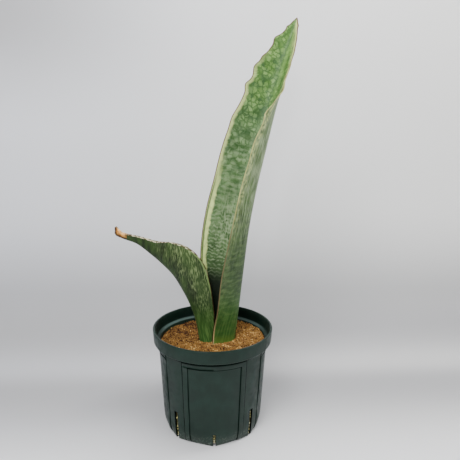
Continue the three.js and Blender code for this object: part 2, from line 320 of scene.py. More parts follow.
@dataclass(frozen=True)
class Span(Mask):
    """A stretch that rises from 0 to 1 between two values and falls again between two higher ones."""

    rise: tuple[float, float]
    fall: tuple[float, float]
    over: Over = Over.SHARE

    def of(self, desk: NodeDesk, value: Value) -> Socket:
        """Reads the stretch at a value."""
        return desk.times(desk.ramp(value, *self.rise), desk.ramp(value, *self.fall, 1.0, 0.0))

    def place(self, desk: "LeafDesk") -> Socket:
        """Reads the stretch over a leaf."""
        return self.of(desk, self.over.socket(desk))


class Effect(Enum):
    """Shader effects that more than one finish uses, each built once as a node group."""

    STREAKS = "StretchedSpots"
    CELLS = "PaleCells"
    RIPPLES = "CrossRipples"
    BAND = "EdgeBand"
    GRIT = "FineGrit"

    def tree(self) -> bpy.types.NodeTree:
        """Returns the effect's node group, building it the first time."""
        known = bpy.data.node_groups.get(self.value)
        return known if known else EFFECT_BUILDERS[self]()


def new_group(effect: Effect, inputs: str, outputs: str) -> tuple[NodeDesk, list[Socket], Sequence[Socket]]:
    """Starts a node group. Its inputs and outputs are numbers, but an input named Place is a vector.

    Args:
        effect: The effect that the group makes.
        inputs: Names of the inputs, with commas between them.
        outputs: Names of the outputs.

    Returns:
        The group's desk, the sockets that give its inputs and the sockets that take its outputs.
    """
    tree = bpy.data.node_groups.new(effect.value, "ShaderNodeTree")
    for way, names in (("INPUT", inputs), ("OUTPUT", outputs)):
        for name in names.split(", "):
            kind = "NodeSocketVector" if name == "Place" else "NodeSocketFloat"
            tree.interface.new_socket(name, in_out=way, socket_type=kind)
    desk = NodeDesk(tree)
    given = desk.add("NodeGroupInput").outputs
    taken = desk.add("NodeGroupOutput").inputs
    return desk, [given[name] for name in inputs.split(", ")], taken


def build_streaks() -> bpy.types.NodeTree:
    """Builds spots that are longer one way than the other, with a wandering course.

    Returns:
        The group's tree.
    """
    desk, given, taken = new_group(
        Effect.STREAKS, "Across, Along, Cell Across, Cell Along, Wander, Seed, Low, High", "Mask",
    )
    across, along, cell_across, cell_along, wander, seed, low, high = given
    across = desk.math("DIVIDE", across, cell_across)
    along = desk.math("DIVIDE", along, cell_along)
    course = desk.vector(desk.times(across, 0.9), desk.times(along, 0.35), seed)
    bend = desk.times(desk.math("SUBTRACT", desk.noise(course, 1.0, 1.0), 0.5), wander)
    shade = desk.noise(desk.vector(across, desk.math("ADD", along, bend), seed), 1.0, 2.0, 0.45)
    desk.put(taken["Mask"], desk.ramp(shade, low, high))
    return desk.tree


def build_cells() -> bpy.types.NodeTree:
    """Builds rounded cells: how far inside its cell a place is, and a tone for each cell.

    Returns:
        The group's tree.
    """
    desk, given, taken = new_group(
        Effect.CELLS, "Across, Along, Cell Across, Cell Along, Seed", "Inside, Tone",
    )
    across, along, cell_across, cell_along, seed = given
    across = desk.math("DIVIDE", across, cell_across)
    place = desk.vector(across, desk.math("DIVIDE", along, cell_along), seed)
    cloud = desk.noise_node(place, 0.9, 3.0, 0.6)
    bend = desk.add("ShaderNodeVectorMath", operation="MULTIPLY_ADD")
    for socket, value in zip(bend.inputs, (cloud.outputs["Color"], (1.4, 1.4, 0.0), place)):
        desk.put(socket, value)
    edges, cells = (desk.add("ShaderNodeTexVoronoi", feature=kind) for kind in ("DISTANCE_TO_EDGE", "F1"))
    for node in (edges, cells):
        desk.put(node.inputs["Vector"], bend.outputs[0])
        desk.put(node.inputs["Scale"], 1.0)
    apart = desk.ramp(edges.outputs["Distance"], 0.0, 0.17)
    desk.put(taken["Inside"], desk.times(apart, desk.ramp(cells.outputs["Distance"], 0.3, 0.75, 1.0, 0.55)))
    desk.put(taken["Tone"], cells.outputs["Color"])
    return desk.tree


def build_ripples() -> bpy.types.NodeTree:
    """Builds thin zigzag lines that run across a leaf, broken up a little.

    Returns:
        The group's tree.
    """
    desk, given, taken = new_group(
        Effect.RIPPLES, "Across, Along, Period, Zigzag, Swing, Seed, Low, High", "Mask",
    )
    across, along, period, zigzag, swing, seed, low, high = given
    across = desk.math("DIVIDE", across, zigzag)
    along = desk.math("DIVIDE", along, period)
    course = desk.vector(across, desk.times(along, 0.3), seed)
    shift = desk.times(desk.math("SUBTRACT", desk.noise(course, 1.0, 1.0), 0.5), swing)
    wave = desk.math("SINE", desk.times(desk.math("ADD", along, shift), math.tau))
    gap = desk.vector(desk.times(across, 1.3), along, seed)
    breaks = desk.math("SUBTRACT", desk.noise(gap, 1.0, 2.0), 0.5)
    value = desk.math("ADD", desk.times(wave, 0.5), desk.times(breaks, 1.6))
    desk.put(taken["Mask"], desk.ramp(value, low, high))
    return desk.tree


def build_band() -> bpy.types.NodeTree:
    """Builds a band beside an edge, from a start to an end distance, with soft sides.

    Returns:
        The group's tree.
    """
    desk, given, taken = new_group(Effect.BAND, "Distance, Start, End, Fade", "Mask")
    distance, start, end, fade = given
    rise = desk.ramp(distance, desk.math("SUBTRACT", start, fade), start)
    fall = desk.ramp(distance, end, desk.math("ADD", end, fade), 1.0, 0.0)
    desk.put(taken["Mask"], desk.times(rise, fall))
    return desk.tree


def build_grit() -> bpy.types.NodeTree:
    """Builds a fine mottle: a value for colour and a height for relief.

    Returns:
        The group's tree.
    """
    desk, (place, size), taken = new_group(Effect.GRIT, "Place, Size", "Tone, Height")
    scaled = desk.add("ShaderNodeVectorMath", operation="SCALE")
    desk.put(scaled.inputs[0], place)
    desk.put(scaled.inputs["Scale"], desk.math("DIVIDE", 1.0, size))
    desk.put(taken["Tone"], desk.noise(scaled.outputs[0], 0.25, 3.0, 0.6))
    desk.put(taken["Height"], desk.noise(scaled.outputs[0], 1.0, 3.0, 0.6))
    return desk.tree


EFFECT_BUILDERS: dict[Effect, Callable[[], bpy.types.NodeTree]] = {
    Effect.STREAKS: build_streaks,
    Effect.CELLS: build_cells,
    Effect.RIPPLES: build_ripples,
    Effect.BAND: build_band,
    Effect.GRIT: build_grit,
}


def new_material(name: str, roughness: float, specular: float = 0.5) -> tuple:
    """Starts a material.

    Args:
        name: The material's name.
        roughness: The Principled shader's roughness.
        specular: Its specular level.

    Returns:
        The material, its desk and its Principled shader.
    """
    material = bpy.data.materials.new(name)
    material.use_nodes = True
    desk = NodeDesk(material.node_tree)
    shader = material.node_tree.nodes["Principled BSDF"]
    shader.inputs["Roughness"].default_value = roughness
    shader.inputs["Specular IOR Level"].default_value = specular
    return material, desk, shader


def add_relief(desk: NodeDesk, shader: bpy.types.Node, height: Socket, depth: float, strength: float) -> None:
    """Gives a shader fine relief from a height.

    Args:
        desk: The desk of the finish.
        shader: The shader.
        height: The height that the relief follows.
        depth: Its depth in metres.
        strength: Its strength.
    """
    bump = desk.add("ShaderNodeBump")
    desk.put(bump.inputs["Height"], height)
    desk.put(bump.inputs["Distance"], depth)
    desk.put(bump.inputs["Strength"], strength)
    desk.put(shader.inputs["Normal"], bump.outputs["Normal"])


def to_piece(name: str, shape: bmesh.types.BMesh, materials: Sequence[Material]) -> Thing:
    """Turns a bmesh into an object with its materials, and frees the bmesh.

    Args:
        name: The object's name.
        shape: Its shape.
        materials: Its materials, in the order of the faces' material indices.

    Returns:
        The object.
    """
    mesh = bpy.data.meshes.new(name)
    shape.to_mesh(mesh)
    shape.free()
    for material in materials:
        mesh.materials.append(material)
    piece = bpy.data.objects.new(name, mesh)
    bpy.context.scene.collection.objects.link(piece)
    return piece


def smooth_shade(piece: Thing, angle_deg: float) -> None:
    """Shades a piece smooth, with sharp edges where its faces meet at more than the angle."""
    piece.data.shade_smooth()
    piece.data.set_sharp_from_angle(angle=math.radians(angle_deg))


def hand_over(piece: Thing, slot: str, node: str | None = None) -> None:
    """Makes a piece ride on the plant's body and stand for its node.

    Args:
        piece: The piece.
        slot: Its slot; not used.
        node: The CAD node that it stands for.
    """
    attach(piece, BODY)
    if node:
        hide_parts(node)
    LOG.info("%s: %d faces", piece.name, len(piece.data.polygons))


def spin_profile(profile: Sequence[tuple[float, float]], steps: int) -> bmesh.types.BMesh:
    """Turns a profile about Z into a closed body.

    Args:
        profile: Radius and height of each point, in millimetres, from axis to axis.
        steps: Columns round the body.

    Returns:
        The body as a bmesh, in millimetres. Its first column faces -Y.
    """
    shape = bmesh.new()
    points = [shape.verts.new((0.0, -radius, z)) for radius, z in profile]
    edges = [shape.edges.new(pair) for pair in zip(points, points[1:])]
    bmesh.ops.spin(
        shape, geom=points + edges, cent=(0, 0, 0), axis=(0, 0, 1), angle=math.tau, steps=steps,
        use_merge=True,
    )
    bmesh.ops.remove_doubles(shape, verts=shape.verts, dist=1e-5)
    bmesh.ops.recalc_face_normals(shape, faces=shape.faces)
    return shape


def rounded(centre: tuple[float, float], radius: float, start_deg: float, end_deg: float, steps: int) -> list:
    """Lists the points of an arc in a profile. 0 degrees points outwards and 90 up."""
    turns = (math.radians(start_deg + (end_deg - start_deg) * i / steps) for i in range(steps + 1))
    return [(centre[0] + radius * math.cos(turn), centre[1] + radius * math.sin(turn)) for turn in turns]


def cut(piece: Thing, tool: bmesh.types.BMesh) -> None:
    """Cuts a tool's shape out of a piece.

    Args:
        piece: The piece.
        tool: The shape that is cut out.
    """
    cutter = to_piece("cutter", tool, ())
    modifier = piece.modifiers.new("Cut", "BOOLEAN")
    modifier.operation = "DIFFERENCE"
    modifier.solver = "EXACT"
    modifier.object = cutter
    whole = piece.evaluated_get(bpy.context.evaluated_depsgraph_get())
    mesh = bpy.data.meshes.new_from_object(whole)
    piece.modifiers.clear()
    piece.data = mesh
    bpy.data.objects.remove(cutter)


@dataclass
class NurseryPot:
    """The dark green slit-sided pot. Lengths are in millimetres and angles in degrees."""

    height: float = 126.0
    rim_radius: float = 74.99
    rim_thickness: float = 2.8
    rim_rounding: float = 0.8
    collar_foot_radius: float = 74.0
    collar_foot_z: float = 112.0
    collar_rounding: float = 2.2
    ledge_z: float = 111.0
    wall_top_z: float = 108.0
    wall_top_radius: float = 68.0
    wall_foot_radius: float = 61.9
    wall_thickness: float = 1.9
    floor_thickness: float = 2.6
    boss_radius: float = 18.0
    recess_radius: float = 41.0
    recess_depth: float = 1.2
    foot_bevel: float = 1.0
    facet_flatness: float = 0.77
    facet_top_z: float = 16.0
    rib_height: float = 0.9
    rib_inner: float = 27.2
    rib_outer: float = 33.0
    rib_edge: float = 0.3
    panel_top_z: float = 100.4
    slit_width: float = 3.2
    long_slit_width: float = 4.6
    short_slit_top_z: float = 15.5
    long_slit_top_z: float = 36.0
    slit_inner_radius: float = 46.0
    neck_rounding: float = 1.6
    neck_centre_offset: float = 2.4
    collar_foot_rounding: float = 1.8
    edge_shifts: tuple[float, ...] = (-1.4, -0.7, 0, 0.7, 1.4)
    wide_angles: tuple[float, ...] = (29.0, 31.0, 35.5, 37.8, 40.2, 42.6, 45.0)
    foot_levels: tuple[float, ...] = (2.5, 4, 6, 8, 10, 12, 14)
    wall_levels: tuple[float, ...] = (20, 30, 45, 60, 75, 90, 98)

    @property
    def collar_inner_radius(self) -> float:
        """Gives the inner radius of the collar at its foot."""
        return self.collar_foot_radius - self.rim_thickness

    def wall_radius(self, z: float) -> float:
        """Gives the outer radius of the round wall at a height."""
        slope = (self.wall_top_radius - self.wall_foot_radius) / self.wall_top_z
        return self.wall_foot_radius + slope * z

    def inner_radius(self, z: float) -> float:
        """Gives the inner radius of the round wall at a height."""
        return self.wall_radius(z) - self.wall_thickness

    def facet_inset(self, angle: float, z: float) -> float:
        """Gives how far the eight-sided foot lies inside the round wall.

        Args:
            angle: Angle round the pot in degrees.
            z: Height.

        Returns:
            The inset.
        """
        rise = max(0.0, 1 - z / self.facet_top_z)
        from_middle = math.radians(angle % 45 - 22.5)
        chord = math.cos(math.radians(22.5)) / math.cos(from_middle)
        return self.wall_foot_radius * self.facet_flatness * (1 - chord) * rise * rise

    def column_angles(self) -> list[float]:
        """Lists the angles of the columns, closer together at the ribs' edges.

        Returns:
            The angles in degrees, in rising order.
        """
        sides = (self.rib_inner, self.rib_outer)
        rib_edges = [side + shift * self.rib_edge for side in sides for shift in self.edge_shifts]
        half = sorted([2.0 * i for i in range(13)] + rib_edges + list(self.wide_angles))
        quarter = half + [90 - angle for angle in reversed(half[:-1])]
        return [90 * turn + angle for turn in range(4) for angle in quarter[:-1]]

    def relief(self, angle: float, z: float) -> float:
        """Gives the height of the ribs and of the band over the panels.

        Args:
            angle: Angle round the pot in degrees.
            z: Height.

        Returns:
            The height over the plain wall.
        """
        from_panel = abs(45 - (angle + 45) % 90)
        inside = smoothstep(self.rib_outer + self.rib_edge, self.rib_outer - self.rib_edge, from_panel)
        rib = smoothstep(self.rib_inner - self.rib_edge, self.rib_inner + self.rib_edge, from_panel)
        head = smoothstep(self.panel_top_z - self.rib_edge, self.panel_top_z + self.rib_edge, z)
        return self.rib_height * inside * max(rib, head)

    def profile(self) -> tuple[list[tuple[float, float]], int, int]:
        """Lists the pot's profile, with the first and last index of the wall's outside.

        Returns:
            The points of radius and height, and the two indices.
        """
        bottom = [
            (0, 0), (self.boss_radius, 0), (self.boss_radius + 1, self.recess_depth),
            (self.recess_radius, self.recess_depth), (self.recess_radius + 1, 0), (52.0, 0),
            (self.wall_foot_radius - self.foot_bevel, 0), (self.wall_foot_radius - 0.3, 0.3),
        ]
        levels = [self.foot_bevel, *self.foot_levels, self.facet_top_z, *self.wall_levels]
        levels += [self.panel_top_z + shift * self.rib_edge for shift in self.edge_shifts]
        levels += [self.wall_top_z - 4, self.wall_top_z - 0.8]
        outside = [(self.wall_radius(z), z) for z in levels]
        neck = (self.wall_top_radius + self.neck_centre_offset, self.wall_top_z)
        collar = rounded(neck, self.neck_rounding, 170, 130, 3)
        rounding = self.collar_foot_rounding
        foot = (self.collar_foot_radius - rounding, self.collar_foot_z - 0.6)
        collar += rounded(foot, rounding, -42, 0, 4)
        rim = self.rim_rounding
        collar += rounded((self.rim_radius - rim, self.height - rim), rim, 0, 90, 4)
        collar += rounded((self.rim_radius - self.rim_thickness + rim, self.height - rim), rim, 90, 180, 4)
        inside = [
            (self.collar_inner_radius, self.ledge_z + self.collar_rounding),
            (self.collar_inner_radius - 1.0, self.ledge_z + 0.7),
            (self.inner_radius(self.ledge_z) + 1.6, self.ledge_z),
            (self.inner_radius(self.ledge_z) + 0.4, self.ledge_z - 0.6),
        ]
        inside += [(self.inner_radius(z), z) for z in (self.wall_top_z + 1, 60, self.facet_top_z, 12, 9, 6)]
        inside += [(self.inner_radius(self.floor_thickness), self.floor_thickness), (0, self.floor_thickness)]
        return bottom + outside + collar + inside, len(bottom), len(bottom) + len(outside)

    def slits(self) -> list[tuple[float, float, float]]:
        """Lists the angle, the width and the top of each slit. Every other one is tall and wide."""
        short = (self.slit_width, self.short_slit_top_z)
        long = (self.long_slit_width, self.long_slit_top_z)
        return [(45.0 * i, *(long if i % 2 else short)) for i in range(8)]

    def slit_tool(self) -> bmesh.types.BMesh:
        """Builds the eight blocks that cut the slits.

        Returns:
            The blocks in one shape.
        """
        tool = bmesh.new()
        reach = self.rim_radius - self.slit_inner_radius
        for angle, width, top in self.slits():
            place = Matrix.Rotation(math.radians(angle), 4, "Z")
            place @= Matrix.Translation((0, -self.slit_inner_radius - reach / 2, top / 2 - 1))
            place @= Matrix.Diagonal((width, reach, top + 2, 1))
            bmesh.ops.create_cube(tool, size=1.0, matrix=Matrix.Scale(MM, 4) @ place)
        return tool

    def build(self, finish: Material) -> Thing:
        """Builds the pot and gives it its finish.

        Args:
            finish: Its finish.

        Returns:
            The piece.
        """
        profile, first_outside, after_outside = self.profile()
        angles = self.column_angles()
        shape = spin_profile(profile, len(angles))
        outside = {(round(r, 3), round(z, 3)) for r, z in profile[first_outside:after_outside]}
        for vert in shape.verts:
            radius = math.hypot(vert.co.x, vert.co.y)
            column = round(math.atan2(vert.co.x, -vert.co.y) / math.tau * len(angles)) % len(angles)
            angle = angles[column]
            z = vert.co.z
            is_outside = (round(radius, 3), round(z, 3)) in outside
            if is_outside:
                radius += self.relief(angle, z)
            if radius > self.recess_radius + 2:
                radius -= self.facet_inset(angle, z)
            turn = math.radians(angle)
            vert.co = Vector((radius * math.sin(turn), -radius * math.cos(turn), z)) * MM
        pot = to_piece("nursery_pot", shape, (finish,))
        cut(pot, self.slit_tool())
        smooth_shade(pot, 38)
        hand_over(pot, "pot", "pot")
        return pot


@dataclass(frozen=True)
class PotPlace:
    """Where a point of the pot is: in millimetres, and in degrees from the middle of the nearest panel."""

    y: Socket
    z: Socket
    radius: Socket
    from_panel: Socket

    @classmethod
    def read(cls, desk: NodeDesk) -> "PotPlace":
        """Adds the nodes that work it out.

        Args:
            desk: The desk of the finish.

        Returns:
            The place.
        """
        scaled = desk.add("ShaderNodeVectorMath", operation="SCALE")
        desk.put(scaled.inputs[0], desk.object_place())
        desk.put(scaled.inputs["Scale"], 1 / MM)
        axes = desk.add("ShaderNodeSeparateXYZ")
        desk.put(axes.inputs[0], scaled.outputs[0])
        x, y, z = axes.outputs
        turn = desk.math("DEGREES", desk.math("ARCTAN2", x, desk.times(y, -1.0)))
        folded = desk.math("FLOORED_MODULO", desk.math("ADD", turn, 45.0), 90.0)
        from_panel = desk.math("ABSOLUTE", desk.math("SUBTRACT", folded, 45.0))
        radius = desk.math("SQRT", desk.math("ADD", desk.times(x, x), desk.times(y, y)))
        return cls(y, z, radius, from_panel)

    def above(self, desk: NodeDesk, height: float) -> Socket:
        """Gives how far the point is above a height."""
        return desk.math("SUBTRACT", self.z, height)

    def beyond(self, desk: NodeDesk, radius: float) -> Socket:
        """Gives how far the point is outside a radius."""
        return desk.math("SUBTRACT", self.radius, radius)


@dataclass(frozen=True)
class MouldedPlastic:
    """Dark green moulded plastic with painted shade along its ribs, under its collar, beside its slits and
    inside its rim, a painted highlight on the ledge, and dust at the foot.

    Lengths are in millimetres. The masks of the lines are measured from the edge that they follow.
    """

    pot: NurseryPot
    body: Colour = seen(12, 33, 25)
    worn: Colour = seen(25, 51, 41)
    # Colour of the painted shade.
    shadow: Colour = seen(3, 8, 6)
    dust: Colour = seen(104, 114, 104)
    ledge_highlight: Colour = seen(86, 106, 102)
    roughness: float = 0.4
    specular: float = 0.22
    grain: float = 0.6
    relief_depth: float = 0.05
    relief_strength: float = 0.35
    cloud_scale: float = 60.0
    fine_cloud_scale: float = 140.0
    wear: Ease = Ease(0.35, 0.75, 0.0, 0.35)
    foot_dust: Ease = Ease(0.0, 20.0, 0.45, 0.0)
    dust_specks: Ease = Ease(0.5, 0.66, 0.25, 1.25)
    ledge_strength: float = 0.55
    gloss_in_painted_shade: Ease = Ease(0.0, 0.8, 0.22, 0.0)
    roughness_clouds: Ease = Ease(0.3, 0.7, 0.33, 0.5)
    # Masks of the painted shade in the corners, under the collar and inside the rim, and of the painted
    # highlight on the ledge.
    line_half_width: float = 0.25
    line_fade: float = 0.4
    inner_line_shift: float = -0.3
    inner_line_strength: float = 0.8
    outer_line_shift: float = 0.5
    outer_line_strength: float = 0.95
    below_head: Ease = Ease(-1.0, 0.0, 1.0, 0.0)
    head_line: Span = Span((-1.2, -0.7), (0.1, 0.5))
    head_line_side: Ease = Ease(0.0, 0.5, 1.0, 0.0)
    head_line_strength: float = 0.7
    slit_side: Ease = Ease(0.0, 0.5, 1.0, 0.0)
    slit_head: Ease = Ease(0.3, 0.9, 1.0, 0.0)
    wall_outside: Ease = Ease(-6.5, -5.5)
    below_neck: Ease = Ease(0.0, 1.0, 1.0, 0.0)
    neck: Span = Span((-3.4, -1.2), (0.8, 1.8))
    neck_outside: Ease = Ease(-1.0, -0.5)
    neck_strength: float = 0.9
    inside_rim: Ease = Ease(0.2, 1.4, 1.0, 0.0)
    sheltered_rim: Span = Span((1.2, 2.2), (10.0, 15.0))
    sheltered_back: Ease = Ease(-20.0, 30.0)
    sheltered_strength: float = 0.5
    ledge: Span = Span((-0.5, -0.1), (0.9, 2.0))
    ledge_back: Ease = Ease(5.0, 45.0)
    ledge_side: Ease = Ease(-0.4, 0.0, 1.0, 0.0)

    def build(self) -> Material:
        """Builds the material.

        Returns:
            The material.
        """
        material, desk, shader = new_material("dark_green_plastic", self.roughness, self.specular)
        place = desk.object_place()
        at = PotPlace.read(desk)
        grit = desk.group(Effect.GRIT.tree(), Place=place, Size=self.grain * MM)
        clouds = desk.noise(place, self.cloud_scale, 3.0, 0.6)
        colour = desk.blend(self.wear.of(desk, clouds), self.body, self.worn)
        specks = self.dust_specks.of(desk, grit.outputs["Tone"])
        colour = desk.blend(desk.times(self.foot_dust.of(desk, at.z), specks), colour, self.dust)
        # Painted highlight on the back of the ledge inside the rim.
        ledge = desk.times(self.ledge_highlight_mask(desk, at), self.ledge_strength)
        colour = desk.blend(ledge, colour, self.ledge_highlight)
        # Painted shade: dark lines in the corners beside the ribs, under the collar, beside the slits and
        # inside the rim.
        painted_shade = self.painted_shade(desk, at)
        desk.put(shader.inputs["Base Color"], desk.blend(painted_shade, colour, self.shadow))
        desk.put(shader.inputs["Specular IOR Level"], self.gloss_in_painted_shade.of(desk, painted_shade))
        fine_clouds = desk.noise(place, self.fine_cloud_scale, 3.0)
        desk.put(shader.inputs["Roughness"], self.roughness_clouds.of(desk, fine_clouds))
        add_relief(desk, shader, grit.outputs["Height"], self.relief_depth * MM, self.relief_strength)
        return material

    def painted_shade(self, desk: NodeDesk, at: PotPlace) -> Socket:
        """Marks the painted shade: dark lines in the corners on the wall, below the collar and inside the
        rim.

        Args:
            desk: The finish's desk.
            at: The place on the pot.

        Returns:
            The mask.
        """
        pot = self.pot
        on_wall = desk.times(
            self.below_neck.of(desk, at.above(desk, pot.wall_top_z)),
            self.wall_outside.of(desk, at.beyond(desk, pot.wall_foot_radius)),
        )
        # Painted shadow on the wall just below the collar.
        neck = desk.times(
            self.neck.of(desk, at.above(desk, pot.wall_top_z)),
            self.neck_outside.of(desk, at.beyond(desk, pot.wall_top_radius)), self.neck_strength,
        )
        # Painted shade on the inside of the rim, strongest at the back.
        sheltered = desk.times(
            self.inside_rim.of(desk, at.beyond(desk, pot.collar_inner_radius)),
            self.sheltered_rim.of(desk, at.above(desk, pot.ledge_z)),
            self.sheltered_back.of(desk, at.y), self.sheltered_strength,
        )
        ribs = desk.times(self.rib_lines(desk, at), on_wall)
        return desk.most(ribs, neck, sheltered, *self.slit_lips(desk, at))

    def rib_lines(self, desk: NodeDesk, at: PotPlace) -> Socket:
        """Marks the painted shade in the corners beside the ribs and under the panels' heads.

        Args:
            desk: The finish's desk.
            at: The place on the pot.

        Returns:
            The mask.
        """
        pot = self.pot
        from_head = at.above(desk, pot.panel_top_z)
        below = self.below_head.of(desk, from_head)
        lines = []
        # Painted shade in the corners beside each rib.
        for edge, strength, reach in (
            (pot.rib_inner + self.inner_line_shift, self.inner_line_strength, below),
            (pot.rib_outer + self.outer_line_shift, self.outer_line_strength, 1.0),
        ):
            line = desk.group(
                Effect.BAND.tree(), Distance=at.from_panel, Start=edge - self.line_half_width,
                End=edge + self.line_half_width, Fade=self.line_fade,
            )
            lines.append(desk.times(line.outputs["Mask"], strength, reach))
        # Painted shade under the panel's head.
        in_panel = self.head_line_side.of(desk, desk.math("SUBTRACT", at.from_panel, pot.rib_inner))
        head = desk.times(self.head_line.of(desk, from_head), in_panel, self.head_line_strength)
        return desk.most(*lines, head)

    def slit_lips(self, desk: NodeDesk, at: PotPlace) -> Iterable[Socket]:
        """Marks the painted shade along the edges of the long and the short slits.

        Args:
            desk: The finish's desk.
            at: The place on the pot.

        Yields:
            The mask of each kind of slit.
        """
        pot = self.pot
        from_long = desk.math("ABSOLUTE", desk.math("SUBTRACT", at.from_panel, 45.0))
        for distance, width, top in (
            (from_long, pot.long_slit_width, pot.long_slit_top_z),
            (at.from_panel, pot.slit_width, pot.short_slit_top_z),
        ):
            half_deg = math.degrees(width / 2 / pot.wall_foot_radius)
            beside = self.slit_side.of(desk, desk.math("SUBTRACT", distance, half_deg))
            yield desk.times(beside, self.slit_head.of(desk, at.above(desk, top)))

    def ledge_highlight_mask(self, desk: NodeDesk, at: PotPlace) -> Socket:
        """Marks the painted highlight on the top of the ledge inside the rim.

        Args:
            desk: The finish's desk.
            at: The place on the pot.

        Returns:
            The mask.
        """
        level = self.ledge.of(desk, at.above(desk, self.pot.ledge_z))
        side = self.ledge_side.of(desk, at.beyond(desk, self.pot.collar_inner_radius))
        return desk.times(level, self.ledge_back.of(desk, at.y), side)


@dataclass(frozen=True)
class Grit:
    """Loose mineral grains, each in a tone of its own between dark and pale."""

    name: str
    dark: Colour
    middle: Colour
    pale: Colour
    grain: float
    roughness: float = 0.9

    def build(self) -> Material:
        """Builds the material. The tone comes from the grains' own attribute.

        Returns:
            The material.
        """
        material, desk, shader = new_material(self.name, self.roughness, 0.25)
        own = desk.add("ShaderNodeAttribute", attribute_name="tone", attribute_type="GEOMETRY")
        tone = own.outputs["Fac"]
        grit = desk.group(Effect.GRIT.tree(), Place=desk.object_place(), Size=self.grain)
        varied = desk.math("ADD", tone, desk.times(desk.math("SUBTRACT", grit.outputs["Tone"], 0.5), 0.5))
        colour = desk.blend(desk.ramp(varied, 0.0, 0.5), self.dark, self.middle)
        colour = desk.blend(desk.ramp(varied, 0.6, 1.0), colour, self.pale)
        desk.put(shader.inputs["Base Color"], colour)
        add_relief(desk, shader, grit.outputs["Height"], 0.15 * MM, 0.6)
        return material


class GrainHeap:
    """Gathers angular grains, some dozens at a time, into one mesh. Lengths are in millimetres."""

    BATCH = 40

    def __init__(self, seed: int) -> None:
        """Starts an empty heap with its own seeded source of random shapes.

        Args:
            seed: Seed of the random shapes.
        """
        self.draw = random.Random(seed)
        self.whole = bmesh.new()
        self.batch = bmesh.new()
        self.tones = self.batch.verts.layers.float.new("tone")
        self.waiting = 0

    def add(self, place: Vector, radius: float, tone: float) -> None:
        """Adds one grain.

        Args:
            place: The grain's centre.
            radius: Its mean radius.
            tone: Its place between the finish's dark and pale colours, from 0 to 1.
        """
        draw = self.draw
        stretch = Vector([draw.uniform(0.75, 1.2) for _ in range(3)])
        angle = draw.uniform(0, math.tau)
        turn = Matrix.Rotation(angle, 3, Vector([draw.gauss(0, 1) for _ in range(3)]).normalized())
        for vert in bmesh.ops.create_icosphere(self.batch, subdivisions=1, radius=radius)["verts"]:
            vert.co = (turn @ (vert.co * draw.uniform(0.8, 1.15) * stretch) + place) * MM
            vert[self.tones] = tone
        self.waiting += 1
        if self.waiting == self.BATCH:
            self.settle()

    def settle(self) -> None:
        """Moves the waiting grains into the whole heap."""
        mesh = bpy.data.meshes.new("batch")
        self.batch.to_mesh(mesh)
        self.whole.from_mesh(mesh)
        bpy.data.meshes.remove(mesh)
        bmesh.ops.delete(self.batch, geom=self.batch.verts, context="VERTS")
        self.waiting = 0

    def build(self, name: str, slot: str, finish: Material) -> Thing:
        """Turns the heap into one piece with flat facets.

        Args:
            name: Its name.
            slot: Its slot.
            finish: Its finish.

        Returns:
            The piece.
        """
        self.settle()
        self.batch.free()
        bmesh.ops.recalc_face_normals(self.whole, faces=self.whole.faces)
        grains = to_piece(name, self.whole, (finish,))
        grains.data.shade_flat()
        hand_over(grains, slot)
        return grains


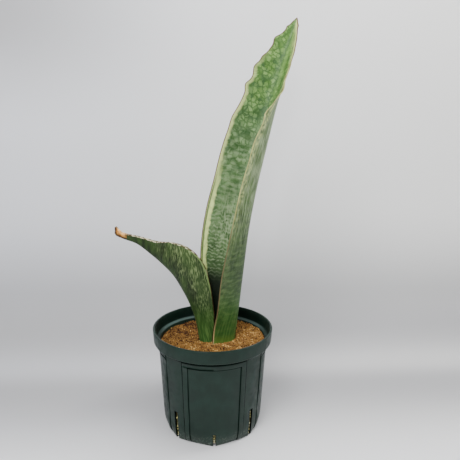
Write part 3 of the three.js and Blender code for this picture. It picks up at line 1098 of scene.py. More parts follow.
@dataclass
class Fillings:
    """The potting soil and the drainage layer. Lengths are in millimetres."""

    pot: NurseryPot
    drainage_top_z: float = 40.0
    soil_top_z: float = 105.0
    soil_tilt: float = 1.6
    soil_mound: float = 1.6
    soil_mound_radius: float = 34.0
    soil_edge_rise: float = 3.0
    soil_side_rise: float = 1.9
    soil_edge_drop: float = 3.0
    soil_drift: float = 1.2
    soil_drift_size: float = 16.0
    touching_gap: float = 0.3
    wall_gap: float = 0.4
    hole_centre: tuple[float, float] = (6.5, 4.5)
    hole_semi_axes: tuple[float, float] = (25.5, 18.0)
    hole_floor_z: float = 48.0
    middle_radius: float = 30.0
    stray_pale_share: float = 0.012
    bed_grain: float = 1.7
    bed_roughness: float = 0.6
    bed_depth: float = 1.2
    bed_tones: tuple[float, float] = (0.2, 0.45)
    bed_seed: int = 3
    grain_spacing: float = 1.55
    grain_jitter: float = 0.5
    grain_edge_gap: float = 0.8
    grain_radii: tuple[float, float, float] = (0.6, 1.35, 0.9)
    grain_sink: tuple[float, float] = (-0.2, 0.7)
    hole_layers: int = 3
    layer_depth: float = 1.9
    leaf_gap: float = 0.1
    patch_size: float = 9.0
    patch_tone: float = 0.35
    leaf_shade_tone: float = 0.25
    drainage_sink: float = 1.2
    pumice_floor_gap: float = 1.6
    pumice_top_gap: float = 0.8
    pumice_radii: tuple[float, float] = (0.9, 1.6)
    pumice_sinks: tuple[float, ...] = (0.7, 1.1, 1.6)
    pumice_tones: tuple[float, float] = (0.6, 1.1)
    pumice_step: tuple[float, float] = (2.2, 4.4)
    behind_depth: float = 3.6
    behind_shift: float = 1.5
    behind_radii: tuple[float, float] = (1.4, 2.0)
    behind_tones: tuple[float, float] = (0.0, 0.3)
    soil_tones: tuple[float, ...] = (0.1, 0.25, 0.35, 0.45, 0.5, 0.55, 0.65, 0.75)
    seed: int = 7

    def soil_height(self, x: float, y: float) -> float:
        """Gives the height of the soil's surface.

        Args:
            x: Place to the right.
            y: Place to the back.

        Returns:
            The height over the ground.
        """
        reach = math.hypot(x, y)
        mound = self.soil_mound * math.exp(-((reach / self.soil_mound_radius) ** 2))
        sideways = max(0.0, (abs(x) - 0.3 * y) / self.pot.wall_top_radius)
        rise = self.soil_edge_rise + self.soil_side_rise * sideways
        rise *= (reach / self.pot.wall_top_radius) ** 3
        drift = self.soil_drift * noise.noise(Vector((x, y, 3.0)) / self.soil_drift_size)
        return self.soil_top_z + self.soil_tilt * x / self.pot.wall_top_radius + mound + rise + drift

    def soil_bed(self, finish: Material) -> Thing:
        """Builds the body of the soil, with the oval hole that the plant stands in.

        Args:
            finish: Its finish.

        Returns:
            The piece.
        """
        foot = self.drainage_top_z + self.touching_gap
        edge_z = self.soil_top_z - self.soil_edge_drop
        edge = self.pot.inner_radius(edge_z) - self.wall_gap
        rings = 40
        profile = [(0, foot), (self.pot.inner_radius(foot) - self.wall_gap, foot), (edge, edge_z)]
        profile += [(edge * (rings - ring) / rings, self.soil_top_z) for ring in range(rings + 1)]
        shape = spin_profile(profile, 180)
        draw = random.Random(self.bed_seed)
        tones = shape.verts.layers.float.new("tone")
        for vert in shape.verts:
            if vert.co.z > edge_z + 1:
                rough = noise.noise(vert.co / self.bed_grain) * self.bed_roughness
                vert.co.z = self.soil_height(vert.co.x, vert.co.y) - self.bed_depth + rough
            vert[tones] = draw.uniform(*self.bed_tones)
            vert.co *= MM
        bed = to_piece("soil_bed", shape, (finish,))
        tool = bmesh.new()
        depth = self.pot.height - self.hole_floor_z
        place = Matrix.Translation((*self.hole_centre, self.hole_floor_z + depth / 2))
        place @= Matrix.Diagonal((*self.hole_semi_axes, 1, 1))
        place = Matrix.Scale(MM, 4) @ place
        bmesh.ops.create_cone(
            tool, cap_ends=True, segments=72, radius1=1, radius2=1, depth=depth, matrix=place,
        )
        cut(bed, tool)
        smooth_shade(bed, 40)
        hand_over(bed, "potting_soil", "potting_soil")
        return bed

    def grain_places(self, draw: random.Random) -> Iterable[Vector]:
        """Lists places for grains over the soil, in a jittered pattern of triangles.

        Args:
            draw: The source of random numbers.

        Yields:
            The places, in order.
        """
        jitter = self.grain_jitter
        reach = self.pot.inner_radius(self.soil_top_z) - self.wall_gap - self.grain_edge_gap
        row_step = self.grain_spacing * math.sqrt(3) / 2
        rows = int(reach / row_step)
        for row in range(-rows, rows + 1):
            for column in range(-rows, rows + 1):
                x = (column + 0.5 * (row % 2)) * self.grain_spacing + draw.uniform(-jitter, jitter)
                y = row * row_step + draw.uniform(-jitter, jitter)
                if math.hypot(x, y) < reach:
                    yield Vector((x, y, self.soil_height(x, y)))

    def soil_grains(self, finish: Material, plant: BVHTree) -> Thing:
        """Covers the soil with loose grains, packed deeper beside the leaves, with painted shade on those at
        the back left.

        Args:
            finish: Its finish.
            plant: The leaves' faces.

        Returns:
            The piece.
        """
        heap = GrainHeap(self.seed)
        draw = heap.draw
        for place in self.grain_places(draw):
            reach = [(place[i] - self.hole_centre[i]) / (self.hole_semi_axes[i] + 1) for i in range(2)]
            layers = self.hole_layers if math.hypot(*reach) < 1 else 1
            for layer in range(layers):
                radius = draw.triangular(*self.grain_radii)
                depth = self.layer_depth * layer + draw.uniform(*self.grain_sink)
                centre = place - Vector((0, 0, depth))
                *_, distance = plant.find_nearest(centre * MM)
                if distance < (radius + self.leaf_gap) * MM:
                    continue
                # Painted shade: grains at the back left, where the leaves shade the soil, are darker.
                sheltered = smoothstep(-10, 30, place.y) * smoothstep(60, -40, place.x)
                patch = noise.noise(place / self.patch_size)
                tone = draw.choice(self.soil_tones) + self.patch_tone * patch
                tone -= self.leaf_shade_tone * sheltered
                if draw.random() < self.stray_pale_share:
                    tone = 1.0
                heap.add(centre, radius, tone)
        return heap.build("soil_grains", "potting_soil", finish)

    def drainage_bed(self, finish: Material) -> Thing:
        """Builds the body of the drainage layer, which follows the pot's eight-sided foot.

        Args:
            finish: Its finish.

        Returns:
            The piece.
        """
        foot = self.pot.floor_thickness + self.touching_gap
        top = self.drainage_top_z
        levels = [top, 30, 22, self.pot.facet_top_z, 12, 9, 6, foot]
        side = [(self.pot.inner_radius(z) - self.wall_gap, z) for z in levels]
        profile = [(0, top), (self.middle_radius, top), *side, (self.middle_radius, foot), (0, foot)]
        shape = spin_profile(profile, 144)
        tones = shape.verts.layers.float.new("tone")
        for vert in shape.verts:
            radius = math.hypot(vert.co.x, vert.co.y)
            if radius > self.middle_radius + 1:
                angle = math.degrees(math.atan2(vert.co.x, -vert.co.y))
                rough = 0.5 + 0.5 * noise.noise(vert.co / 2.0)
                inset = self.pot.facet_inset(angle, vert.co.z) + self.drainage_sink + rough
                vert.co.xy *= (radius - inset) / radius
            vert[tones] = 0.1
            vert.co *= MM
        bed = to_piece("drainage_bed", shape, (finish,))
        smooth_shade(bed, 50)
        hand_over(bed, "drainage_layer", "drainage_layer")
        return bed

    def slit_pumice(self, finish: Material) -> Thing:
        """Fills the slits with the pale grains that press against them.

        Args:
            finish: Its finish.

        Returns:
            The piece.
        """
        heap = GrainHeap(self.seed + 4)
        draw = heap.draw
        for angle, width, top in self.pot.slits():
            turn = math.radians(angle)
            outward = Vector((math.sin(turn), -math.cos(turn), 0))
            sideways = Vector((math.cos(turn), math.sin(turn), 0))
            z = self.pot.floor_thickness + self.pumice_floor_gap
            while z < top - self.pumice_top_gap:
                radius = draw.uniform(*self.pumice_radii)
                sink = draw.choice(self.pumice_sinks)
                reach = self.pot.wall_radius(z) - self.pot.facet_inset(angle, z) - sink - radius
                loose = width / 2 - radius
                height = Vector((0, 0, z))
                centre = outward * reach + sideways * draw.uniform(-loose, loose) * 0.8 + height
                heap.add(centre, radius, draw.uniform(*self.pumice_tones))
                behind = outward * (reach - self.behind_depth) + height
                behind += sideways * draw.uniform(-self.behind_shift, self.behind_shift)
                heap.add(behind, draw.uniform(*self.behind_radii), draw.uniform(*self.behind_tones))
                z += radius * draw.uniform(*self.pumice_step)
        return heap.build("slit_pumice", "drainage_layer", finish)


@dataclass(frozen=True)
class Swell:
    """A bump of a leaf's margin: its place and half-length as shares of the leaf, and its size in mm."""

    at: float
    span: float
    size: float

    def height(self, share: float) -> float:
        """Gives the bump's height at a share of the leaf's length."""
        return self.size * math.exp(-(((share - self.at) / self.span) ** 2))


@dataclass
class Leaf:
    """A channelled leaf: a keel curve with a wing folded up on each side.

    Each station holds the keel's x, y and z, the wing's width, its fold and its turn, as the solid does.
    A place across the leaf is -1 at the left margin, 0 at the keel and 1 at the right margin.
    """

    name: str
    node: str
    stations: list[tuple[float, float, float, float, float, float]]
    foot_thickness: float
    tip_thickness: float
    right_wing_share: float = 1.0
    swells: list[Swell] = field(default_factory=list)
    rolls: list[Swell] = field(default_factory=list)
    rows: int = 400
    half_columns: int = 28
    keel_sharpness: float = 3.0
    margin_thinning: float = 0.7
    fray: float = 0.25
    wrinkle_from: float = 1.1
    wrinkle_depth: float = 0.0
    tip_swell: Swell = Swell(1.0, 1.0, 0.0)

    def columns(self) -> list[float]:
        """Lists the places across the leaf, closer together at the keel and the margins."""
        half = [math.sin(math.pi / 2 * i / self.half_columns) for i in range(self.half_columns + 1)]
        half = [0.45 * place + 0.55 * i / self.half_columns for i, place in enumerate(half)]
        return [-place for place in reversed(half[1:])] + half

    def section(self, fold_deg: float) -> list[tuple[float, float, float, float]]:
        """Gives the folded section for wings of unit width.

        Args:
            fold_deg: The fold of the wings at their margins.

        Returns:
            Place across, sideways and upward position, and heading in radians, for each column.
        """
        fold = math.radians(fold_deg) / math.tanh(self.keel_sharpness)
        sideways = 0.0
        upward = 0.0
        previous = 0.0
        steps = 6
        half = []
        for place in self.columns()[self.half_columns:]:
            stride = (place - previous) / steps
            for i in range(steps):
                heading = fold * math.tanh(self.keel_sharpness * (previous + (i + 0.5) * stride))
                sideways += math.cos(heading) * stride
                upward += math.sin(heading) * stride
            previous = place
            half.append((place, sideways, upward, fold * math.tanh(self.keel_sharpness * place)))
        return [(-a, -b, c, -d) for a, b, c, d in reversed(half[1:])] + half

    def thickness(self, share: float) -> float:
        """Gives the leaf's thickness at its keel."""
        plain = self.tip_thickness + (self.foot_thickness - self.tip_thickness) * (1 - share ** 1.6)
        return plain + self.tip_swell.height(share)

    def wing(self, share: float, place: float, plain: float) -> float:
        """Gives a wing's width, with the swells and the fine fray of its margin.

        Args:
            share: Place along the leaf, from 0 to 1.
            place: Place across the leaf.
            plain: The wing's plain width.

        Returns:
            The width.
        """
        if place < 0:
            plain += sum(swell.height(share) for swell in self.swells)
        else:
            plain *= self.right_wing_share
        fray = noise.noise(Vector((share * 90, 7.0 if place < 0 else 3.0, 0.5)))
        fray += 0.6 * noise.noise(Vector((share * 260, 1.0 if place < 0 else 5.0, 0.5)))
        return plain + self.fray * fray * min(1.0, plain / 10) * smoothstep(0.02, 0.12, share)

    def ring(self, share: float) -> list[tuple[Vector, Vector, float, float]]:
        """Gives one section of the leaf.

        Args:
            share: Place along the leaf, from 0 at the foot to 1 at the tip.

        Returns:
            Middle point, half-thickness vector towards the inside, distance from the keel and
            distance from the margin, for each column.
        """
        values = along_curve(self.stations, share)
        keel = Vector(values[:3])
        ahead = Vector(along_curve(self.stations, share + 0.001)[:3])
        along = (ahead - Vector(along_curve(self.stations, share - 0.001)[:3])).normalized()
        turn = math.radians(values[5])
        side = Vector((math.cos(turn), math.sin(turn), 0))
        side = (side - along * side.dot(along)).normalized()
        opening = side.cross(along)
        roll = sum(bump.height(share) for bump in self.rolls)
        dry = smoothstep(self.wrinkle_from, self.wrinkle_from + 0.04, share) * self.wrinkle_depth
        points = []
        for place, sideways, upward, heading in self.section(values[4]):
            wing = self.wing(share, place, values[3])
            middle = keel + wing * (sideways * side + upward * opening)
            inward = opening * math.cos(heading) - side * math.sin(heading)
            if place > 0:
                middle += inward * roll * place ** 4
            if dry:
                middle += inward * dry * noise.noise(Vector((place * 2.2, share * 60, 2.0)))
            taper = (1 - self.margin_thinning * place ** 2) * math.sqrt(max(0.0, 1 - place ** 16))
            half = inward * self.thickness(share) / 2 * taper
            points.append((middle, half, wing * place, wing * (1 - abs(place))))
        return points

    def build(self, outside: Material, inside: Material) -> Thing:
        """Builds the leaf from a grid that is wrapped round its two faces.

        Args:
            outside: Finish of the face away from the channel.
            inside: Finish of the channel.

        Returns:
            The leaf, with the maps leaf (across, along) and edge (distance from the margin, share).
        """
        columns = len(self.columns())
        around = 2 * (columns - 1)
        rings = [self.ring(row / self.rows) for row in range(self.rows + 1)]
        lengths = [0.0]
        for before, after in zip(rings, rings[1:]):
            lengths.append(lengths[-1] + (after[columns // 2][0] - before[columns // 2][0]).length)
        shape = bmesh.new()
        leaf_map = shape.loops.layers.uv.new("leaf")
        edge_map = shape.loops.layers.uv.new("edge")
        bmesh.ops.create_grid(shape, x_segments=around, y_segments=self.rows + 1, size=1.0)
        facts = {}
        for vert in shape.verts:
            step = round((vert.co.x + 1) / 2 * around)
            row = round((vert.co.y + 1) / 2 * (self.rows + 1))
            is_cap = row == 0
            row = max(0, row - 1)
            column = step if step < columns else around - step
            middle, half, across, margin = rings[row][column]
            side = 0 if is_cap else (-1 if step < columns else 1)
            if row == self.rows:
                side = 0
            vert.co = middle + half * side
            if row == 0:
                vert.co.z = self.stations[0][2]
            vert.co *= MM
            facts[vert] = ((across * MM, lengths[row] * MM), (margin * MM, row / self.rows))
        for face in shape.faces:
            steps = [facts[vert] for vert in face.verts]
            for loop, (leaf, edge) in zip(face.loops, steps):
                loop[leaf_map].uv = leaf
                loop[edge_map].uv = edge
        shape.faces.ensure_lookup_table()
        for index, face in enumerate(shape.faces):
            face.material_index = 0 if index % around < columns - 1 else 1
            face.smooth = True
        bmesh.ops.remove_doubles(shape, verts=shape.verts, dist=2e-6)
        bmesh.ops.recalc_face_normals(shape, faces=shape.faces)
        leaf = to_piece(self.name, shape, (outside, inside))
        hand_over(leaf, self.node, self.node)
        return leaf


TALL_LEAF = Leaf(
    name="tall_leaf",
    node="leaf_tall",
    stations=[
        (21.5, 8.5, 72, 24, 80, 282), (25, 9, 105, 35, 84, 284), (29.5, 10, 150, 44.5, 73, 290),
        (34, 10, 200, 54, 68, 294), (39, 9, 250, 54, 67, 299), (47.5, 8, 300, 50.5, 70, 303),
        (58.5, 9, 350, 48, 71, 307), (69, 12, 400, 36, 62, 319), (80, 15, 440, 25.5, 52, 330),
        (90, 18, 470, 14, 47, 335), (96.5, 21, 490, 5, 40, 335), (99, 23, 497.85, 0.4, 26, 335),
    ],
    foot_thickness=7.5,
    tip_thickness=1.3,
    swells=[
        Swell(0.588, 0.02, 1.9), Swell(0.659, 0.012, 4.0), Swell(0.706, 0.018, 4.6),
        Swell(0.737, 0.012, 2.2), Swell(0.808, 0.02, 4.0), Swell(0.877, 0.012, 1.4),
    ],
    rolls=[
        Swell(0.505, 0.025, -1.6), Swell(0.6, 0.014, 3.4), Swell(0.655, 0.02, -4.0),
        Swell(0.74, 0.02, 0.8), Swell(0.895, 0.014, -1.3),
    ],
    rows=440,
    fray=0.12,
)
SHORT_LEAF = Leaf(
    name="short_leaf",
    node="leaf_short",
    stations=[
        (-9, 4, 72, 11, 84, 75), (-13.5, 3, 104, 17.5, 90, 75), (-18.5, 2, 132.5, 26.5, 89, 80),
        (-27, 1, 157, 34.5, 88, 84), (-36.5, 1, 176, 42, 88, 88), (-47.5, 2, 193.5, 46, 87, 90),
        (-62, 3, 208.5, 37.5, 86, 90), (-76, 5, 220, 21.5, 84, 91), (-92, 7, 231.5, 11, 78, 90),
        (-112.3, 8.2, 239.6, 7.2, 66, 90), (-118.6, 8.8, 250.8, 3.2, 50, 90),
    ],
    foot_thickness=6.5,
    tip_thickness=1.6,
    right_wing_share=0.88,
    swells=[Swell(0.645, 0.014, 1.0), Swell(0.72, 0.03, -1.0), Swell(0.95, 0.03, 3.0)],
    rows=260,
    fray=0.3,
    wrinkle_from=0.88,
    wrinkle_depth=0.9,
    tip_swell=Swell(0.94, 0.035, 4.5),
)


class LeafDesk(NodeDesk):
    """A desk with what every leaf finish reads: the places across, along and from the margin."""

    def __init__(self, tree: bpy.types.NodeTree) -> None:
        """Adds the two maps of the leaf to the tree.

        Args:
            tree: The shader tree.
        """
        super().__init__(tree)
        self.across, self.along = self.read_map("leaf")
        self.margin, self.share = self.read_map("edge")
        self.from_keel = self.math("ABSOLUTE", self.across)
        self.course = self.across

    def fan_out(self, start: float, strength: float) -> None:
        """Makes the spots that are placed later lean to the left margin, more so towards the tip.

        Args:
            start: Place along the leaf where the fan starts, in metres.
            strength: Sideways shift in metres at one metre past the start.
        """
        past = self.math("MAXIMUM", self.math("SUBTRACT", self.along, start), 0.0)
        self.course = self.math("ADD", self.across, self.times(past, past, strength))

    def read_map(self, name: str) -> tuple[Socket, Socket]:
        """Returns the two values of one of the leaf's maps."""
        parts = self.add("ShaderNodeSeparateXYZ")
        self.put(parts.inputs[0], self.add("ShaderNodeUVMap", uv_map=name).outputs[0])
        return parts.outputs[0], parts.outputs[1]

    def product(self, masks: Iterable[Mask], *more: Value) -> Value:
        """Places masks and multiplies them, with any further values."""
        return self.times(*(mask.place(self) for mask in masks), *more)

    def lay(self, colour: Value, coats: Iterable["Coat"]) -> Value:
        """Lays coats of colour one over the other.

        Args:
            colour: What lies below them.
            coats: The coats, from the lowest.

        Returns:
            The colour that shows.
        """
        for coat in coats:
            strength = () if coat.strength == 1 else (coat.strength,)
            tint = coat.tint.place(self) if isinstance(coat.tint, Flecked) else coat.tint
            colour = self.blend(self.product(coat.masks, *strength), colour, tint)
        return colour


@dataclass(frozen=True)
class Spots(Mask):
    """Spots that are stretched along a leaf. Sizes are in millimetres."""

    across: float
    along: float
    low: float
    high: float
    wander: float = 0.0
    seed: float = 0.0
    least: float = 0.0

    def place(self, desk: LeafDesk) -> Socket:
        """Places the spots. Between them, the mask is at its least.

        Args:
            desk: The desk of the finish.

        Returns:
            The mask.
        """
        node = desk.group(
            Effect.STREAKS.tree(), Across=desk.course, Along=desk.along, Cell_Across=self.across * MM,
            Cell_Along=self.along * MM, Wander=self.wander, Seed=self.seed, Low=self.low, High=self.high,
        )
        mask = node.outputs["Mask"]
        return desk.math("ADD", desk.times(mask, 1 - self.least), self.least) if self.least else mask


@dataclass(frozen=True)
class Ripples(Mask):
    """Zigzag lines across a leaf. Sizes are in millimetres."""

    period: float
    zigzag: float
    swing: float
    low: float
    high: float
    seed: float

    def place(self, desk: LeafDesk) -> Socket:
        """Places the lines.

        Args:
            desk: The desk of the finish.

        Returns:
            The mask.
        """
        node = desk.group(
            Effect.RIPPLES.tree(), Across=desk.across, Along=desk.along, Period=self.period * MM,
            Zigzag=self.zigzag * MM, Swing=self.swing, Seed=self.seed, Low=self.low, High=self.high,
        )
        return node.outputs["Mask"]


@dataclass(frozen=True)
class Band(Mask):
    """A band beside a leaf's margin, straight or with waves. Sizes are in millimetres."""

    start: float
    end: float
    fade: float
    waves: Spots | None = None
    wave_height: float = 1.6

    def place(self, desk: LeafDesk) -> Socket:
        """Places the band.

        Args:
            desk: The desk of the finish.

        Returns:
            The mask.
        """
        distance = desk.margin
        if self.waves:
            shift = desk.times(self.waves.place(desk), self.wave_height * MM)
            distance = desk.math("ADD", distance, shift)
        node = desk.group(
            Effect.BAND.tree(), Distance=distance,
            Start=self.start * MM, End=self.end * MM, Fade=self.fade * MM,
        )
        return node.outputs["Mask"]


@dataclass(frozen=True)
class Cells:
    """Rounded cells. Sizes are in millimetres."""

    across: float
    along: float
    seed: float

    def place(self, desk: LeafDesk) -> tuple[Socket, Socket]:
        """Places the cells and returns how far inside one a place is, and each cell's tone.

        Args:
            desk: The desk of the finish.

        Returns:
            The two values.
        """
        node = desk.group(
            Effect.CELLS.tree(), Across=desk.across, Along=desk.along, Cell_Across=self.across * MM,
            Cell_Along=self.along * MM, Seed=self.seed,
        )
        return node.outputs["Inside"], node.outputs["Tone"]


@dataclass(frozen=True)
class Flecked:
    """A colour with flecks of another one."""

    ground: Colour
    fleck: Colour
    masks: tuple[Mask, ...]

    def place(self, desk: LeafDesk) -> Socket:
        """Mixes the two colours."""
        return desk.blend(desk.product(self.masks), self.ground, self.fleck)


@dataclass(frozen=True)
class Coat:
    """A coat of colour on a leaf, as strong as its masks let it be."""

    tint: Colour | Flecked
    strength: float = 1.0
    masks: tuple[Mask, ...] = ()


class Face(Enum):
    """The two faces of a leaf."""

    OUTSIDE = "outside"
    INSIDE = "inside"


@dataclass(frozen=True)
class TallLeafFinish:
    """Mottled green with pale cells near the tip, silvery ripples below and a thin dry margin, with painted
    shadow deep in the channel and painted sheen and highlights.
    """

    # Colour of the painted shadow at the foot of the channel.
    channel_shadow: Colour = seen(24, 34, 22)
    shade: Colour = seen(38, 60, 28)
    deep: Colour = seen(61, 93, 49)
    green: Colour = seen(95, 129, 77)
    fresh: Colour = seen(82, 124, 46)
    silver: Colour = seen(184, 202, 158)
    cell: Colour = seen(140, 178, 100)
    cell_low: Colour = seen(168, 197, 143)
    pale: Colour = seen(238, 255, 160)
    spring: Colour = seen(212, 224, 144)
    dry: Colour = seen(92, 54, 38)
    tan: Colour = seen(104, 96, 64)
    straw: Colour = seen(190, 190, 120)
    straw_low: Colour = seen(196, 176, 124)
    moss: Colour = seen(38, 62, 20)
    olive: Colour = seen(64, 94, 38)
    cool: Colour = seen(60, 92, 62)
    glow: Colour = seen(128, 156, 60)
    # Colour of the painted sheen on the outside, also used for the pale cross-bands lower down.
    sheen_and_bands: Colour = seen(116, 144, 84)
    base: Colour = seen(54, 100, 44)
    base_light: Colour = seen(84, 128, 64)
    roughness: float = 0.48
    specular: float = 0.25
    relief_depth: float = 0.2
    relief_strength: float = 0.5
    relief: tuple[Mask, Mask] = (
        Spots(1.6, 30.0, 0.35, 0.65, 0.2, 2.0), Ripples(3.6, 6.0, 1.2, -0.3, 0.5, 3.0),
    )

    left_wing: Ease = Ease(-0.002, 0.0, 1.0, 0.0, Over.ACROSS)
    right_wing: Ease = Ease(0.0, 0.002, over=Over.ACROSS)
    tipward: Ease = Ease(0.58, 0.7)
    upper: Ease = Ease(0.32, 0.56)
    upper_outside: Ease = Ease(0.36, 0.54)
    lower: Span = Span((0.16, 0.26), (0.34, 0.44))
    mottle: Spots = Spots(16.0, 14.0, 0.36, 0.62, 0.5, 4.0)
    cells: Cells = Cells(5.8, 5.4, 9.0)
    cell_tone: Ease = Ease(0.3, 0.7, 0.15, 0.85)
    cell_reach: Ease = Ease(0.34, 0.66, 0.08, 0.72)
    cell_in_mottle: Ease = Ease(0.0, 1.0, 0.75, 1.15)
    cell_change: Ease = Ease(0.52, 0.66)
    tone_in_mottle: float = 0.2

    channel_ground: tuple[Coat, ...] = (
        Coat(green, masks=(mottle,)),
        Coat(fresh, 0.7, (tipward,)),
        Coat(cool, 0.65, (Spots(12.0, 11.0, 0.46, 0.62, 0.5, 61.0), Span((0.4, 0.5), (0.76, 0.86)))),
    )
    cell_gaps: Coat = Coat(deep, 0.6, (upper, Spots(5.0, 5.0, 0.3, 0.6, 0.0, 33.0)))
    channel_mottling: tuple[Coat, ...] = (
        Coat(deep, 0.25, (Span((0.3, 0.42), (0.54, 0.64)),)),
        Coat(silver, 0.34, (Spots(9.0, 4.6, 0.36, 0.72, 0.8, 41.0), Span((0.28, 0.4), (0.5, 0.62)))),
        Coat(deep, 0.3, (Span((0.46, 0.5), (0.56, 0.62)), Spots(14.0, 8.0, 0.3, 0.6, 0.5, 43.0))),
    )
    channel_lines: tuple[Coat, ...] = (
        Coat(shade, masks=(lower, Ease(0.24, 0.36, 0.5, 0.1))),
        Coat(silver, 0.58, (
            Ripples(4.8, 6.0, 2.0, -0.4, 1.0, 1.0), Spots(4.5, 3.0, 0.34, 0.56, 0.3, 57.0), lower,
        )),
        # Painted highlight: silvery streaks down the middle of the channel.
        Coat(silver, 0.45, (
            Spots(1.5, 12.0, 0.46, 0.62, 0.3, 2.0), Span((0.26, 0.34), (0.38, 0.46)),
            Span((-0.042, -0.030), (-0.012, -0.004), Over.ACROSS),
        )),
        # Painted shade in the crease along the keel near the tip, and a painted highlight on the strip beside
        # it.
        Coat(deep, 0.4, (Span((-0.006, -0.001), (0.001, 0.0025), Over.ACROSS), tipward)),
        Coat(cell, 0.35, (Span((0.0015, 0.0035), (0.007, 0.012), Over.ACROSS), tipward)),
        Coat(spring, 0.55, (
            Band(0.0, 6.5, 4.0), right_wing, tipward, Spots(1.0, 15.0, 0.42, 0.64, 0.4, 71.0),
        )),
        Coat(
            Flecked(spring, dry, (Spots(2.0, 8.0, 0.46, 0.6, 0.0, 51.0), Span((0.6, 0.63), (0.72, 0.78)))),
            0.75, (Band(0.0, 2.6, 2.0), right_wing, tipward),
        ),
    )
    band_waves: Spots = Spots(30.0, 7.0, 0.3, 0.7, 0.0, 6.0)
    pale_band: tuple[Coat, ...] = (
        Coat(pale, 0.95, (
            left_wing, Band(3.2, 7.6, 2.2, band_waves), Ease(0.12, 0.25), Ease(0.4, 0.52, 1.0, 0.0),
            Spots(2.2, 6.0, 0.3, 0.6, 0.4, 65.0, least=0.7),
        )),
        Coat(spring, 0.85, (left_wing, Band(0.3, 3.4, 3.4, band_waves), Span((0.38, 0.48), (0.6, 0.8)))),
        Coat(spring, 0.7, (left_wing, Band(0.5, 1.2, 0.8), Span((0.1, 0.16), (0.46, 0.54)))),
        Coat(deep, 0.85, (left_wing, Band(1.7, 2.9, 0.7), Span((0.22, 0.28), (0.42, 0.5)))),
    )
    # Painted shadow deep in the channel near its foot.
    channel_foot_shadow: Coat = Coat(channel_shadow, masks=(Ease(0.22, 0.285, 1.0, 0.0),))
    outside_coats: tuple[Coat, ...] = (
        Coat(olive, masks=(Spots(14.0, 26.0, 0.36, 0.62, 0.5, 5.0),)),
        # Painted sheen, stronger towards the keel.
        Coat(sheen_and_bands, masks=(upper_outside, Ease(0.016, 0.044, 0.3, 0.7, Over.MARGIN))),
        Coat(silver, masks=(Spots(2.4, 16.0, 0.32, 0.74, 0.5, 12.0), Ease(0.25, 0.45, 0.08, 0.65))),
        Coat(deep, 0.25, (Spots(2.6, 12.0, 0.42, 0.74, 0.5, 17.0), upper_outside)),
        Coat(shade, masks=(Ease(0.24, 0.5, 0.66, 0.06),)),
        Coat(spring, masks=(
            Band(1.0, 5.0, 8.0), Spots(3.6, 4.6, 0.34, 0.74, 0.7, 12.0), Ease(0.3, 0.56, 0.1, 0.85),
        )),
        Coat(
            Flecked(base, base_light, (Spots(2.0, 26.0, 0.4, 0.65, 0.2, 22.0),)),
            0.9, (Ease(0.12, 0.26, 1.0, 0.0),),
        ),
        Coat(glow, masks=(Ease(0.085, 0.12, 0.45, 0.0),)),
        Coat(sheen_and_bands, 0.38, (
            Ripples(8.0, 14.0, 2.2, -0.5, 1.0, 8.0), Spots(9.0, 7.0, 0.3, 0.6, 0.5, 18.0),
            Span((0.08, 0.18), (0.38, 0.5)),
        )),
    )
    margin_tans: tuple[Coat, ...] = (
        Coat(straw, masks=(Ease(0.34, 0.44),)),
        Coat(straw_low, masks=(Ease(0.12, 0.17, 1.0, 0.0),)),
    )
    tan_reach: tuple[Mask, Mask] = (right_wing, Ease(0.78, 0.66))
    tan_breaks: Spots = Spots(3.0, 12.0, 0.4, 0.6, 0.0, 15.0)
    tan_break_depth: float = 0.25
    left_margin: Band = Band(-1.0, 0.75, 0.4)
    right_margin: Band = Band(-1.0, 0.9, 0.6)
    dry_point: Coat = Coat(dry, 0.9, (Ease(0.95, 0.985),))

    def build(self, face: Face) -> Material:
        """Builds the finish of one face.

        Args:
            face: Which face of the leaf.

        Returns:
            The material.
        """
        material, _, shader = new_material(f"tall_leaf_{face.value}", self.roughness, self.specular)
        desk = LeafDesk(material.node_tree)
        colour = self.inside(desk) if face is Face.INSIDE else desk.lay(self.moss, self.outside_coats)
        desk.put(shader.inputs["Base Color"], self.margin(desk, colour))
        height = desk.math("ADD", *(mask.place(desk) for mask in self.relief))
        add_relief(desk, shader, height, self.relief_depth * MM, self.relief_strength)
        return material

    def inside(self, desk: LeafDesk) -> Socket:
        """Colours the channel.

        Args:
            desk: The desk of the finish.

        Returns:
            The colour.
        """
        colour = desk.lay(self.deep, self.channel_ground)
        body, tone = self.cells.place(desk)
        gaps = desk.math("SUBTRACT", 1.0, body)
        gap_share = desk.product(self.cell_gaps.masks, gaps, self.cell_gaps.strength)
        colour = desk.lay(desk.blend(gap_share, colour, self.cell_gaps.tint), self.channel_mottling)
        mottle = self.mottle.place(desk)
        light = desk.math("ADD", self.cell_tone.of(desk, tone), desk.times(mottle, self.tone_in_mottle))
        reach = desk.times(self.cell_reach.place(desk), self.cell_in_mottle.of(desk, mottle))
        tint = desk.blend(self.cell_change.place(desk), self.cell_low, self.cell)
        colour = desk.blend(desk.times(body, light, reach), colour, tint)
        return desk.lay(colour, (*self.channel_lines, *self.pale_band, self.channel_foot_shadow))

    def margin(self, desk: LeafDesk, colour: Socket) -> Socket:
        """Adds the dry margin: a dark thin line on the left, and a tan one on the right.

        Args:
            desk: The desk of the finish.
            colour: The colour below.

        Returns:
            The colour.
        """
        whole = desk.math("SUBTRACT", 1.0, desk.times(self.tan_breaks.place(desk), self.tan_break_depth))
        tan = desk.lay(self.tan, self.margin_tans)
        tone = desk.blend(desk.product(self.tan_reach, whole), self.dry, tan)
        edges = (band.place(desk) for band in (self.left_margin, self.right_margin))
        colour = desk.blend(desk.blend(self.right_wing.place(desk), *edges), colour, tone)
        return desk.lay(colour, (self.dry_point,))


